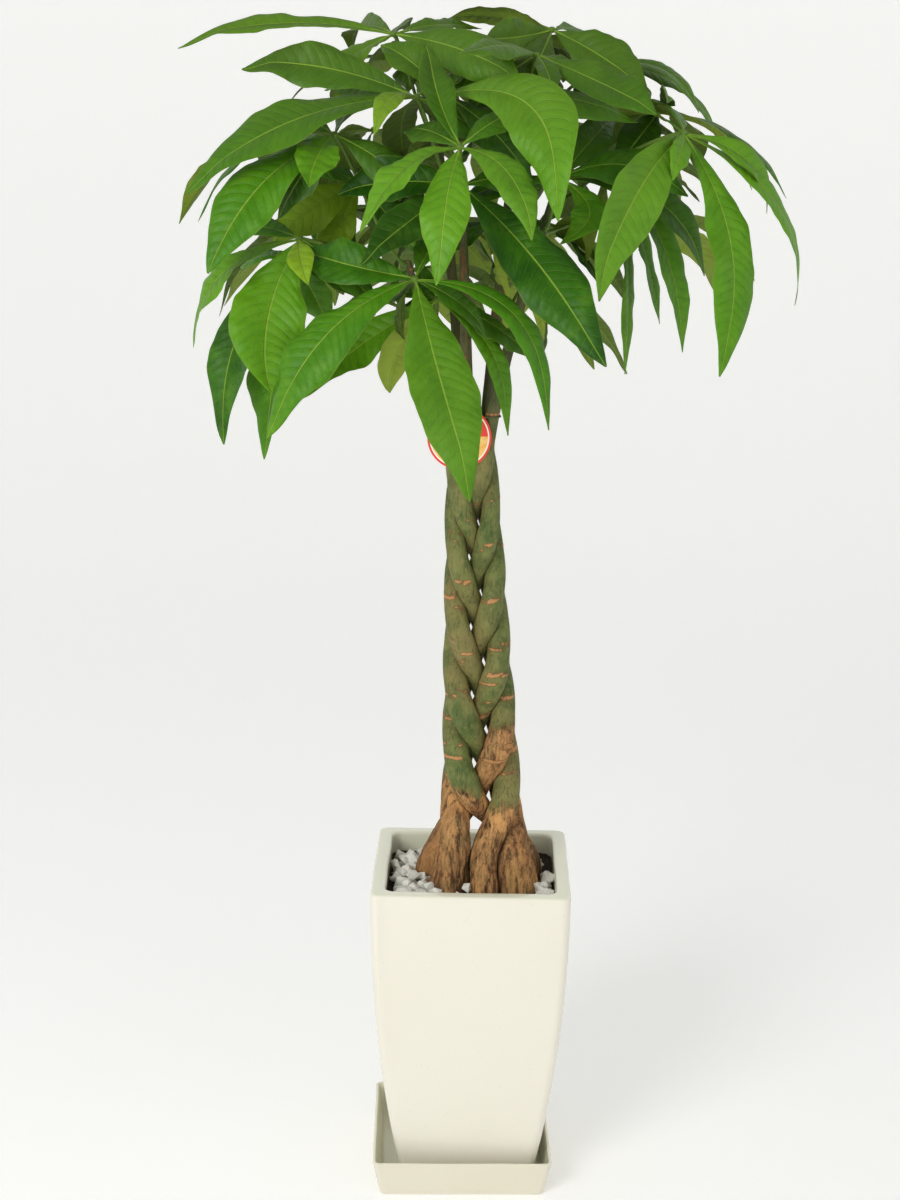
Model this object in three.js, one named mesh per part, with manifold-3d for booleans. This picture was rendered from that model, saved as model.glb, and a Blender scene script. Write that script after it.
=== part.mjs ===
// Potted money tree: five braided trunks in a tall square glazed pot on a square saucer,
// with a round crown of palmate leaves. Millimetres, +Z up, the front towards -Y.
// The origin is the middle of the saucer's underside.
import * as THREE from "three";
import { ConvexGeometry } from "three/addons/geometries/ConvexGeometry.js";
import { mergeVertices } from "three/addons/utils/BufferGeometryUtils.js";
import Module from "manifold-3d";

const wasm = await Module();
wasm.setup();

// ---------------------------------------------------------------- driving dimensions

const GAP = 0.3;     // clearance between pieces that touch
const SLIVER = 0.02; // edges shorter than this are closed up after a join or a cut
const TURN = Math.PI * 2;

const SAUCER = {
  height: 54,
  foot: 118,       // half width at the underside
  top: 129,        // half width at the rim
  bow: 0.8,        // its sides curve outwards most near the foot
  wall: 4.5,
  floor: 10,
  corner: 9,       // radius of the upright corners
  innerCorner: 6,
  edge: 1,         // how much its rim and foot are rounded
};
const POT = {
  top: 468,        // height of the flat rim
  rim: 140,        // half width across the rim
  foot: 95,        // half width where it stands
  wall: 20,        // width of the flat rim
  lowerWall: 11,
  floor: 14,       // thickness of the floor
  corner: 13,
  innerCorner: 16,
  edge: 2,         // how much the rim is rounded
  x: 10,           // it stands a little right of the saucer's middle,
  turn: -2,        // and is turned by this many degrees
};
const SOIL = {
  top: 436,
  sink: 32,        // how deep the trunks stand in it
  clear: 1.2,      // between the soil and the pot's wall
};
const STONES = {
  bed: 5,          // the layer that the stones lie in
  size: 12,
  columns: 8,
  corners: 7,      // scattered points in one stone
  squat: 0.7,      // its height as a share of its width
  lap: 0.35,       // how far a stone may lie on a trunk's foot, as a share of its size
  clear: 1.5,      // between a stone and the pot's wall
  below: 8,        // how far the highest stone stays under the rim
  seed: 7,
};

const BRAID = {
  foot: { x: 30, z: 424 },   // the bundle's middle at the soil
  lean: -0.046,              // sideways lean of the bundle per mm of height
  start: 560,
  end: 1065,
  turnFrom: 500,             // below this height a trunk keeps facing the same way
  look: 4,                   // how far up and down the plait its facing is judged
  period: 503,               // height in which one trunk comes round again
  firstDive: 845,            // where the first trunk passes behind, half way across
  amplitude: 38,             // sideways swing at z = 600
  taper: 0.03,               // what the swing loses per mm of height
  depth: 0.72,               // depth of the plait as a share of its swing
  flat: 0.44,                // half width of a trunk as a share of the swing
  thin: 0.31,                // half thickness, the same way
  settle: { x: 1, y: 0.75, size: 1.2 },   // how soon each eases into the foot below `start`
};

// One row for each trunk, in the order in which they pass behind going down:
// where its swollen foot stands (from the bundle's middle), the foot's radius,
// and the tip of its shoot.
const TRUNKS = [
  { foot: [-72, 30], radius: 28, tip: [-50, 60, 1500] },
  { foot: [-2, -47], radius: 19, tip: [115, -10, 1450] },
  { foot: [44, -27], radius: 29, tip: [60, 55, 1540] },
  { foot: [54, 42], radius: 28, tip: [-20, -70, 1445] },
  { foot: [-53, -27], radius: 26, tip: [-90, -55, 1335] },
];
const TRUNK = { sides: 7, step: 31 };
const SHOOT = {
  base: 12,             // radius over the braid
  tip: 4.5,             // radius at its end
  lean: 1.25,           // how late it leans out
  round: 4,             // how soon its section turns round
};

const LEAF = {
  thickness: 0.9,
  root: 4.5,            // width of a leaflet's stalk
  end: 2.2,             // width of its cut tip
  wave: 0.05,           // height of the waved margin, as a share of the width
  belly: 1.3,           // how far out the widest place lies
  blunt: 0.8,           // how full the outline is
  hub: 5.5,
  stations: [0, 0.1, 0.34, 0.6, 0.83, 1],   // where along the midrib the strip bends
  face: { up: 0.8, out: 0.6 },              // which way the upper faces look
};
const CROWN = { x: 20, y: 20 };   // the axis that the leaves spread from
const PETIOLE = {
  radius: 2.4,
  steps: 4,
  sides: 4,
  leave: { out: 8, reach: 0.3, rise: 0.15 },
  arrive: { reach: 0.75, rise: 0.8, over: 8 },
};

// Where a leaflet would cross a neighbour it is bent clear: its tip is tried a little
// higher, lower or to the side, nearest first, until it hangs free.
const BEND = { step: 9, most: 8, clear: 0.3 };

// Each leaf is one row: its name, the trunk that it grows on, the height where its stalk
// leaves the shoot, its hub, and its leaflets as
// [tip x, y, z, width, arch, sway, roll in degrees].
const FRONT_LEAVES = [
  { name: "leaf_front_left_top", trunk: 0, from: 1485, hub: [-110, -20, 1625], blades: [
    [-395, 20, 1615, 44, 15, 20, 20],
    [-175, 170, 1615, 45, 20, 0, 0],
    [-90, 170, 1645, 34, 6, 0, 0],
    [5, 60, 1635, 45, 5, 10, -45],
    [55, -150, 1565, 62, 5, -10, -30],
    [-200, -60, 1565, 55, 5, 0, 20],
  ] },
  { name: "leaf_front_left_high", trunk: 3, from: 1410, hub: [-80, -110, 1545], blades: [
    [-305, -90, 1585, 62, 15, 0, 35],
    [-368, -170, 1430, 82, 28, 5, 18],
    [-131, -200, 1503, 32, 22, 0, 20],
    [-200, 20, 1560, 50, 10, 0, 0],
    [-20, 10, 1555, 50, 12, 0, 0],
  ] },
  { name: "leaf_front_centre_high", trunk: 3, from: 1440, hub: [-45, -90, 1550], blades: [
    [95, -270, 1410, 86, 48, -50, -30],
    [210, -60, 1520, 60, 27, 14, -10],
    [35, 90, 1595, 50, 20, 0, 0],
    [-110, -20, 1570, 50, 12, 0, 0],
    [90, 20, 1540, 50, 12, 0, 0],
  ] },
  { name: "leaf_front_centre", trunk: 3, from: 1428, hub: [-25, -190, 1485], blades: [
    [-50, -300, 1330, 62, 27, 0, 5],
    [-145, -250, 1380, 50, 34, 0, -5],
    [65, -290, 1380, 52, 30, -10, 0],
    [-95, -110, 1505, 45, 10, 0, 0],
    [-65, -110, 1610, 45, 0, -8, -20],
    [65, -100, 1530, 45, 12, 0, 0],
  ] },
  { name: "leaf_front_dark", trunk: 3, from: 1388, hub: [-22, -116, 1435], blades: [
    [155, -270, 1225, 85, 23, 0, -20],
    [-180, -120, 1425, 65, 10, 0, 30],
    [-145, -210, 1345, 52, 0, 6, 30],
    [90, -60, 1435, 50, 12, 0, 0],
    [-100, -20, 1440, 50, 12, 0, 0],
  ] },
  { name: "leaf_front_low", trunk: 4, from: 1290, hub: [-80, -170, 1320], blades: [
    [-5, -290, 1070, 90, 22, 5, 15],
    [88, -220, 1142, 46, 60, -35, 15],
    [-260, -240, 1130, 78, 40, 0, 15],
    [-225, -110, 1350, 64, 15, -20, 20],
    [-25, -50, 1370, 50, 15, 0, 0],
  ] },
  { name: "leaf_inner_low", trunk: 4, from: 1240, hub: [-50, -60, 1285], blades: [
    [42, -80, 1112, 36, 12, -30, 15],
    [-225, -120, 1165, 62, -10, 40, 35],
    [-120, -10, 1160, 52, 20, -20, -70],
    [-60, 40, 1220, 48, 12, 0, 0],
    [-150, 50, 1255, 50, 12, 0, 0],
  ] },
  { name: "leaf_right_outer", trunk: 1, from: 1445, hub: [265, -100, 1505], blades: [
    [305, -210, 1215, 70, 16, -45, -20],
    [385, -60, 1405, 42, 30, 20, -30],
    [420, -30, 1278, 46, 46, 36, -30],
    [145, -220, 1310, 76, 30, 16, 15],
    [165, 0, 1525, 50, 15, 0, 0],
    [230, 70, 1535, 50, 18, 0, 0],
    [243, -165, 1452, 32, 8, 0, 10],
  ] },
  { name: "leaf_right_inner", trunk: 1, from: 1375, hub: [110, -55, 1445], blades: [
    [275, -90, 1435, 62, 30, 10, -45],
    [315, 0, 1320, 60, 44, 0, -45],
    [105, -130, 1365, 48, 12, -38, -20],
    [200, 80, 1505, 50, 16, 0, 0],
    [40, 60, 1500, 50, 16, 0, 0],
  ] },
  { name: "leaf_top_right", trunk: 2, from: 1530, hub: [100, 30, 1635], blades: [
    [5, -60, 1620, 52, -5, 0, 45],
    [34, 120, 1645, 45, 5, -5, 0],
    [175, 150, 1622, 45, 10, 0, 0],
    [225, -40, 1555, 72, 5, 8, -60],
    [-40, 50, 1645, 48, 8, 0, 0],
  ] },
  { name: "leaf_top_front", trunk: 2, from: 1500, hub: [75, -60, 1600], blades: [
    [225, -150, 1530, 62, 0, -8, -30],
    [93, -130, 1551, 34, 6, 0, 0],
    [170, 20, 1575, 50, 12, 0, 0],
    [-30, -170, 1550, 50, 12, 0, 0],
    [60, 60, 1580, 50, 10, 0, 0],
  ] },
  { name: "leaf_left_front", trunk: 4, from: 1310, hub: [-230, -110, 1365], blades: [
    [-370, -100, 1225, 50, 42, -15, 20],
    [-265, -210, 1185, 100, 2, 25, 45],
    [-216, -190, 1316, 36, 8, 0, 20],
    [-160, -70, 1300, 48, 12, 0, 0],
    [-330, 10, 1360, 50, 16, 0, 0],
  ] },
  { name: "leaf_left_low", trunk: 4, from: 1265, hub: [-245, -20, 1335], blades: [
    [-335, -60, 1095, 64, 30, 8, 50],
    [-280, -60, 1075, 78, -5, 26, 25],
    [-190, -60, 1240, 50, 14, -7, -15],
    [-320, 60, 1310, 50, 12, 0, 0],
    [-200, 130, 1320, 50, 14, 0, 0],
  ] },
  { name: "leaf_left_high", trunk: 4, from: 1328, hub: [-185, -104, 1497], blades: [
    [-340, -190, 1325, 80, 27, 0, 35],
    [-215, -190, 1435, 56, 7, 0, 40],
    [-255, -130, 1395, 52, 9, -11, 25],
    [-270, 20, 1515, 50, 16, 0, 0],
    [-120, 20, 1540, 50, 16, 0, 0],
  ] },
  { name: "leaf_left_inner", trunk: 0, from: 1380, hub: [-155, 10, 1430], blades: [
    [-270, -20, 1355, 62, 9, -25, 70],
    [-205, -30, 1330, 52, 0, 8, 50],
    [-240, 80, 1445, 50, 11, 0, 0],
    [-110, 130, 1440, 50, 12, 0, 0],
    [-60, 30, 1460, 45, 10, 0, 0],
  ] },
  { name: "leaf_inner_right", trunk: 2, from: 1300, hub: [35, 0, 1380], blades: [
    [47, -80, 1286, 74, 10, 20, 80],
    [90, -60, 1240, 50, 27, 9, 80],
    [-45, -40, 1330, 50, 10, 0, 0],
    [100, 100, 1370, 50, 12, 0, 0],
  ] },
  { name: "leaf_right_low", trunk: 1, from: 1410, hub: [195, 70, 1460], blades: [
    [260, 40, 1245, 48, 4, 18, -30],
    [290, 20, 1215, 54, 20, 42, -40],
    [155, -20, 1335, 50, -6, 7, 80],
    [210, 10, 1180, 48, 10, 0, -20],
    [320, 120, 1410, 50, 14, 0, 0],
    [210, 230, 1420, 50, 14, 0, 0],
  ] },
  { name: "leaf_right_high", trunk: 2, from: 1515, hub: [175, 110, 1590], blades: [
    [305, 60, 1530, 50, 30, 7, -35],
    [345, 120, 1495, 50, 33, 0, -35],
    [235, 20, 1550, 50, 12, 0, 0],
    [215, 240, 1600, 50, 14, 0, 0],
    [70, 190, 1615, 50, 14, 0, 0],
  ] },
];

// The leaves behind are laid out by a rule: their leaflets open in a fan round the hub,
// the outer ones longer and lower. Azimuth 0 is +X and 90 the back.
const BACK_LEAVES = [
  { trunk: 1, from: 1370, hub: [215, 160, 1400], azimuth: 35, reach: 250 },
  { trunk: 2, from: 1390, hub: [90, 190, 1375], azimuth: 75, reach: 240 },
  { trunk: 0, from: 1350, hub: [-60, 195, 1380], azimuth: 105, reach: 240 },
  { trunk: 0, from: 1400, hub: [-190, 135, 1390], azimuth: 145, reach: 250 },
  { trunk: 1, from: 1445, hub: [250, 60, 1530], azimuth: 10, reach: 230 },
  { trunk: 2, from: 1450, hub: [180, 195, 1505], azimuth: 50, reach: 240 },
  { trunk: 2, from: 1430, hub: [30, 215, 1495], azimuth: 90, reach: 240 },
  { trunk: 0, from: 1440, hub: [-140, 205, 1500], azimuth: 125, reach: 240 },
  { trunk: 0, from: 1460, hub: [-240, 90, 1495], azimuth: 165, reach: 230 },
  { trunk: 2, from: 1535, hub: [70, 160, 1605], azimuth: 70, reach: 220 },
  { trunk: 0, from: 1495, hub: [-80, 130, 1600], azimuth: 125, reach: 230 },
  { trunk: 2, from: 1250, hub: [80, 100, 1300], azimuth: 50, reach: 210 },
  { trunk: 0, from: 1270, hub: [-70, 90, 1315], azimuth: 130, reach: 210 },
];
const FAN = {
  count: 5,
  spread: 57,                          // degrees between two leaflets
  jitter: 8,
  width: 0.27,                         // of a leaflet, as a share of its length
  droop: { low: 42, high: 21, jitter: 14, side: 0.25 },
  heights: { low: 1300, high: 1620 },  // hubs at these heights droop by `low` and `high`
  length: { side: 0.3, least: 0.92, spread: 0.16 },
  arch: { least: 0.09, spread: 0.07 },
  sway: 0.1,
  roll: 30,
  seed: 11,
};

// The round card hangs on a twine that ties the five trunks together over the braid.
const TIE = { radius: 1.3, slack: 0.3, z: 1122, sides: 3, steps: 24 };
const TAG = { radius: 44, thickness: 1.2, tuck: 0.8, x: -17, z: 1094, sides: 22 };

// ---------------------------------------------------------------- helpers

const vec = (x, y, z) => new THREE.Vector3(x, y, z);
const UPWARD = vec(0, 0, 1);
const lerp = THREE.MathUtils.lerp;
const radians = THREE.MathUtils.degToRad;
const smooth = THREE.MathUtils.smoothstep;

// A repeatable random number in [0, 1).
function randomFrom(seed) {
  let state = seed;
  return () => {
    state = (state * 1664525 + 1013904223) % 4294967296;
    return state / 4294967296;
  };
}

// Skins rings of equal count, from first to last, and closes both ends with a fan.
// `turned` names the sides whose squares are split along their other diagonal.
function loft(rings, turned = []) {
  const count = rings[0].length;
  const points = rings.flat();
  const faces = [];
  for (let r = 0; r + 1 < rings.length; r += 1) {
    for (let s = 0; s < count; s += 1) {
      const a = r * count + s;
      const b = r * count + ((s + 1) % count);
      const [c, d] = [b + count, a + count];
      if (turned.includes(s)) faces.push(a, b, d, b, c, d);
      else faces.push(a, b, c, a, c, d);
    }
  }
  const last = (rings.length - 1) * count;
  for (let s = 1; s + 1 < count; s += 1) {
    faces.push(0, s + 1, s);
    faces.push(last, last + s, last + s + 1);
  }
  return bodyFrom(points.flatMap((p) => [p.x, p.y, p.z]), faces);
}

function bodyFrom(coordinates, faces) {
  const geometry = new THREE.BufferGeometry();
  geometry.setAttribute("position", new THREE.Float32BufferAttribute(coordinates, 3));
  geometry.setIndex(faces);
  return geometry;
}

// Between three.js geometry and the solids that can be joined and cut.
function solid(geometry) {
  const bare = geometry.clone();
  bare.deleteAttribute("normal");
  bare.deleteAttribute("uv");
  const merged = mergeVertices(bare, 1e-4);
  return new wasm.Manifold(new wasm.Mesh({
    numProp: 3,
    vertProperties: new Float32Array(merged.attributes.position.array),
    triVerts: new Uint32Array(merged.index.array),
  }));
}

function geometryOf(body) {
  const mesh = body.getMesh();
  const coordinates = [];
  for (let v = 0; v < mesh.numVert; v += 1) {
    coordinates.push(...mesh.vertProperties.slice(v * mesh.numProp, v * mesh.numProp + 3));
  }
  return bodyFrom(coordinates, [...mesh.triVerts]);
}

// Joins bodies into one, and drops the slivers that a join leaves on its seams.
const joined = (bodies) => bodies.reduce((whole, body) => whole.add(body)).simplify(SLIVER);

// The main part of a body, without the scraps that a cut leaves.
const largest = (body) => body.decompose().sort((a, b) => b.volume() - a.volume())[0];

const tree = new THREE.Group();

function addPiece(name, geometry, color, roughness) {
  geometry.computeVertexNormals();
  const material = new THREE.MeshStandardMaterial({ color, roughness, metalness: 0 });
  const mesh = new THREE.Mesh(geometry, material);
  mesh.name = name;
  tree.add(mesh);
}

// ---------------------------------------------------------------- saucer and pot

// A square ring with round corners, as seen from above.
function squareRing(half, corner, z, x = 0, turn = 0, steps = 3) {
  const ring = [];
  for (let side = 0; side < 4; side += 1) {
    for (let step = 0; step <= steps; step += 1) {
      const angle = (side + step / steps) * TURN / 4;
      const middle = half - corner;
      const [cx, cy] = [[1, 1], [-1, 1], [-1, -1], [1, -1]][side];
      const point = vec(cx * middle, cy * middle, z);
      point.add(vec(Math.cos(angle), Math.sin(angle), 0).multiplyScalar(corner));
      ring.push(point.applyAxisAngle(UPWARD, radians(turn)).add(vec(x, 0, 0)));
    }
  }
  return ring;
}

function saucerBody() {
  const { height, foot, top, wall, floor, corner, innerCorner, edge } = SAUCER;
  const halfAt = (z) => lerp(foot, top, Math.pow(z / height, SAUCER.bow));
  const outside = [0.12, 0.5, 0.92].map((share) => {
    const z = share * height;
    return squareRing(halfAt(z), corner, z);
  });
  const inside = [1, 0.45].map((share) => {
    const z = lerp(floor, height, share);
    return squareRing(halfAt(z) - wall, innerCorner, z);
  });
  return loft([
    squareRing(foot - 2 * edge, corner, 0),
    ...outside,
    squareRing(top - edge, corner, height),
    ...inside,
    squareRing(foot - wall - 3 * edge, innerCorner, floor),
  ]);
}

const potFoot = SAUCER.floor + GAP;

const potRise = (z) => (z - potFoot) / (POT.top - potFoot);

// The pot's sides bow outwards as they rise.
const potHalf = (z) => POT.rim - (POT.rim - POT.foot) * (1 - potRise(z)) ** 2;
const potInside = (z) => potHalf(z) - lerp(POT.lowerWall, POT.wall, potRise(z));

const potRing = (half, z, corner = POT.corner) => squareRing(half, corner, z, POT.x, POT.turn);
const innerRing = (half, z) => potRing(half, z, POT.innerCorner);

function potBody() {
  const { top, rim, foot, wall, floor, edge } = POT;
  const heightsAt = (shares) => shares.map((share) => lerp(potFoot, top, share));
  return loft([
    potRing(foot - 2 * edge, potFoot),
    ...heightsAt([0.02, 0.14, 0.28, 0.44, 0.62, 0.82, 0.985]).map((z) => potRing(potHalf(z), z)),
    potRing(rim - edge, top),
    innerRing(rim - wall + edge, top),
    ...heightsAt([0.97, 0.7, 0.4, 0.15]).map((z) => innerRing(potInside(z), z)),
    innerRing(potInside(potFoot + floor), potFoot + floor),
  ]);
}

// ---------------------------------------------------------------- trunks

const bundleX = (z) => BRAID.foot.x + BRAID.lean * (z - BRAID.foot.z);
const swingAt = (z) => BRAID.amplitude - BRAID.taper * (z - 600);

// How far trunk `index` has gone round the flat figure of eight at height z.
function phase(index, z) {
  const dive = BRAID.firstDive - index * BRAID.period / TRUNKS.length;
  return TURN * (dive - z) / BRAID.period;
}

function braidPoint(index, z) {
  const angle = phase(index, z);
  const swing = swingAt(z);
  return vec(bundleX(z) + swing * Math.sin(angle), BRAID.depth * swing * Math.sin(2 * angle), z);
}

// How far a trunk has eased out of the braid into its foot: 1 at the soil, 0 in the braid.
function standing(z, what) {
  return Math.pow(1 - smooth(z, SOIL.top, BRAID.start), BRAID.settle[what]);
}

// The trunk's middle line: swollen foot, braid, then its own shoot.
function trunkPoint(index, z) {
  const { foot, tip } = TRUNKS[index];
  if (z > BRAID.end) {
    const start = braidPoint(index, BRAID.end);
    const share = (z - BRAID.end) / (tip[2] - BRAID.end);
    const spread = Math.pow(share, SHOOT.lean);
    return vec(lerp(start.x, tip[0], spread), lerp(start.y, tip[1], spread), z);
  }
  const point = braidPoint(index, Math.max(z, SOIL.top));
  const x = lerp(point.x, BRAID.foot.x + foot[0], standing(z, "x"));
  return vec(x, lerp(point.y, foot[1], standing(z, "y")), z);
}

// Half width and half thickness of a trunk at height z.
function trunkSize(index, z) {
  if (z > BRAID.end) {
    const share = (z - BRAID.end) / (TRUNKS[index].tip[2] - BRAID.end);
    const radius = lerp(SHOOT.base, SHOOT.tip, Math.sqrt(share));
    const thin = radius * BRAID.thin / BRAID.flat;
    return [radius, lerp(thin, radius, Math.min(1, share * SHOOT.round))];
  }
  const swing = swingAt(Math.max(z, BRAID.start));
  const { radius } = TRUNKS[index];
  const eased = standing(z, "size");
  return [lerp(swing * BRAID.flat, radius, eased), lerp(swing * BRAID.thin, radius, eased)];
}

// The way in which the plait carries a trunk sideways at height z.
function facing(index, z) {
  const held = Math.min(Math.max(z, BRAID.turnFrom), BRAID.end);
  const ahead = braidPoint(index, held - BRAID.look).sub(braidPoint(index, held + BRAID.look));
  return Math.atan2(ahead.y, ahead.x);
}

// A trunk is a flattened tube, with its broad side along that way.
function trunkBody(index, grow = 0) {
  const bottom = SOIL.top - SOIL.sink - grow;
  const top = TRUNKS[index].tip[2];
  const steps = Math.round((top - bottom) / TRUNK.step);
  const rings = [];
  for (let step = 0; step <= steps; step += 1) {
    const z = lerp(bottom, top, step / steps);
    const [half, thin] = trunkSize(index, z);
    const middle = trunkPoint(index, z);
    const ring = [];
    for (let side = 0; side < TRUNK.sides; side += 1) {
      const angle = TURN * side / TRUNK.sides;
      const offset = vec((half + grow) * Math.cos(angle), (thin + grow) * Math.sin(angle), 0);
      ring.push(offset.applyAxisAngle(UPWARD, facing(index, z)).add(middle));
    }
    rings.push(ring);
  }
  return loft(rings);
}

// ---------------------------------------------------------------- soil and stones

// The trunks, a little thicker: what is cut out of the soil and the stones.
const trunkHoles = () => joined(TRUNKS.map((_, index) => solid(trunkBody(index, GAP))));

// A slab that fills the pot between two heights, clear of its wall by the given gap.
function filling(low, high, gap, steps = 3) {
  const rings = [];
  for (let step = 0; step <= steps; step += 1) {
    const z = lerp(low, high, step / steps);
    rings.push(innerRing(potInside(z) - gap, z));
  }
  return solid(loft(rings));
}

function soilBody() {
  const whole = filling(potFoot + POT.floor + GAP, SOIL.top, SOIL.clear);
  return whole.subtract(trunkHoles());
}

// Broken white stones: each is the hull of a few scattered points.
function stoneBody(middle, size, random) {
  const points = [];
  for (let n = 0; n < STONES.corners; n += 1) {
    const angle = random() * TURN;
    const height = random() * 2 - 1;
    const round = Math.sqrt(1 - height * height);
    const reach = size * lerp(0.75, 1.05, random());
    const way = vec(round * Math.cos(angle), round * Math.sin(angle), STONES.squat * height);
    points.push(way.multiplyScalar(reach).add(middle));
  }
  return solid(new ConvexGeometry(points));
}

// Whether a stone lies on the foot of a trunk.
function onFoot({ x, y }, size) {
  return TRUNKS.some(({ foot, radius }) => {
    const apart = Math.hypot(x - BRAID.foot.x - foot[0], y - foot[1]);
    return apart < radius + size * STONES.lap;
  });
}

// A bed of stones, one in each cell of a grid, fused into one layer.
function stonesBody() {
  const random = randomFrom(STONES.seed);
  const bottom = SOIL.top + GAP;
  const bedTop = bottom + STONES.bed;
  const pieces = [filling(bottom, bedTop, 2, 1)];
  const half = potInside(SOIL.top);
  const cell = 2 * half / STONES.columns;
  for (let column = 0; column < STONES.columns; column += 1) {
    for (let row = 0; row < STONES.columns; row += 1) {
      const size = STONES.size * lerp(0.85, 1.15, random());
      const x = POT.x - half + cell * (column + lerp(0.3, 0.7, random()));
      const y = -half + cell * (row + lerp(0.3, 0.7, random()));
      const middle = vec(x, y, bedTop + lerp(1, 5, random()));
      if (!onFoot(middle, size)) pieces.push(stoneBody(middle, size, random));
    }
  }
  const room = filling(bottom, POT.top - STONES.below, STONES.clear);
  return largest(joined(pieces).intersect(room).subtract(trunkHoles()).simplify(SLIVER));
}

// ---------------------------------------------------------------- twine and card

// The point of the bundle of trunks that lies farthest out in one direction at height z,
// moved on that way by `beyond`.
function bundleEdge(angle, z, beyond) {
  const way = vec(Math.cos(angle), Math.sin(angle), 0);
  const edges = TRUNKS.map((_, index) => {
    const [half, thin] = trunkSize(index, z);
    const { x, y } = way.clone().applyAxisAngle(UPWARD, -facing(index, z));
    const edge = vec(half * half * x, thin * thin * y, 0).divideScalar(Math.hypot(half * x, thin * y));
    return edge.applyAxisAngle(UPWARD, facing(index, z)).add(trunkPoint(index, z));
  });
  const farthest = edges.reduce((a, b) => (a.dot(way) > b.dot(way) ? a : b));
  return farthest.addScaledVector(way, beyond);
}

// The twine is a ring drawn tight round the bundle.
function tieBody() {
  const ring = new THREE.TorusGeometry(1, TIE.radius, TIE.sides, TIE.steps);
  const { position } = ring.attributes;
  for (let n = 0; n < position.count; n += 1) {
    const turn = TURN * (n % (TIE.steps + 1)) / TIE.steps;
    const out = position.getX(n) * Math.cos(turn) + position.getY(n) * Math.sin(turn) - 1;
    const edge = bundleEdge(turn, TIE.z, TIE.radius + GAP + TIE.slack + out);
    position.setXYZ(n, edge.x, edge.y, TIE.z + position.getZ(n));
  }
  return ring;
}

// The card hangs upright and leans on the twine, beside the frontmost trunk.
function tagBody() {
  const card = new THREE.CylinderGeometry(TAG.radius, TAG.radius, TAG.thickness, TAG.sides);
  const front = bundleEdge(-TURN / 4, TIE.z, 2 * TIE.radius + GAP + TIE.slack).y;
  card.translate(TAG.x, front + TAG.tuck - GAP - TAG.thickness / 2, TAG.z);
  return card;
}

// ---------------------------------------------------------------- leaves

// The leaflet's own directions: along it, out of its upper face, and across it.
function leafletFrame(hub, tip) {
  const along = tip.clone().sub(hub).normalize();
  const middle = hub.clone().add(tip).multiplyScalar(0.5);
  const outward = vec(middle.x - CROWN.x, middle.y - CROWN.y, 0).normalize();
  const up = vec(0, 0, LEAF.face.up).addScaledVector(outward, LEAF.face.out);
  up.addScaledVector(along, -up.dot(along)).normalize();
  return { along, up, across: along.clone().cross(up) };
}

// The leaflet's width at share t of its length, as a share of its full width.
function widthShare(t) {
  const place = Math.pow(Math.min(t, 0.999), LEAF.belly);
  return Math.pow(Math.sin(Math.PI * place), LEAF.blunt);
}

// The arched line from the hub to the tip.
function midribOf(hub, tip, arch, sway) {
  const { along, up, across } = leafletFrame(hub, tip);
  const root = hub.clone().addScaledVector(along, LEAF.hub / 2);
  const bend = hub.clone().add(tip).multiplyScalar(0.5);
  bend.addScaledVector(up, 2 * arch).addScaledVector(across, 2 * sway);
  return new THREE.QuadraticBezierCurve3(root, bend, tip);
}

// The directions of the blade at share t of its midrib: across it, and out of its face.
function bladeDirections(midrib, t, up, roll) {
  const along = midrib.getTangent(t);
  const normal = up.clone().addScaledVector(along, -up.dot(along)).normalize();
  const turned = along.clone().cross(normal).applyAxisAngle(along, -radians(roll));
  return { turned, face: turned.clone().cross(along) };
}

// A thin strip along its midrib, waved at its margins. It can be grown by a clearance,
// and `first` leaves out the stations before it.
function leafletBody(hub, [x, y, z, width, arch, sway, roll], grow = 0, first = 0) {
  const tip = vec(x, y, z);
  const { up } = leafletFrame(hub, tip);
  const midrib = midribOf(hub, tip, arch, sway);
  const thick = LEAF.thickness / 2 + grow;
  const rings = [];
  for (let station = first; station < LEAF.stations.length; station += 1) {
    const t = LEAF.stations[station];
    const { turned, face } = bladeDirections(midrib, t, up, roll);
    const least = t < 0.5 ? LEAF.root : LEAF.end;
    const wide = width * widthShare(t);
    const half = Math.max(wide, least) / 2 + grow;
    const wave = (station % 2 === 0 ? 1 : -1) * LEAF.wave * wide;
    const left = midrib.getPoint(t).addScaledVector(turned, -half).addScaledVector(face, wave);
    const right = midrib.getPoint(t).addScaledVector(turned, half).addScaledVector(face, -wave);
    rings.push([
      left.clone().addScaledVector(face, thick),
      right.clone().addScaledVector(face, thick),
      right.addScaledVector(face, -thick),
      left.addScaledVector(face, -thick),
    ]);
  }
  return solid(loft(rings, [2]));
}

// A round stalk along a curve that lies in one upright plane; `across` is square to it.
// Its first ring stands upright, to seat on the shoot.
function stalkBody(curve, across, radius) {
  const rings = [];
  for (let step = 0; step <= PETIOLE.steps; step += 1) {
    const t = step / PETIOLE.steps;
    const square = across.clone().cross(curve.getTangent(t)).normalize();
    const normal = step === 0 ? UPWARD : square;
    const ring = [];
    for (let side = 0; side < PETIOLE.sides; side += 1) {
      const angle = TURN * side / PETIOLE.sides;
      const point = curve.getPoint(t).addScaledVector(normal, radius * Math.cos(angle));
      ring.push(point.addScaledVector(across, radius * Math.sin(angle)));
    }
    rings.push(ring);
  }
  return solid(loft(rings));
}

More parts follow.
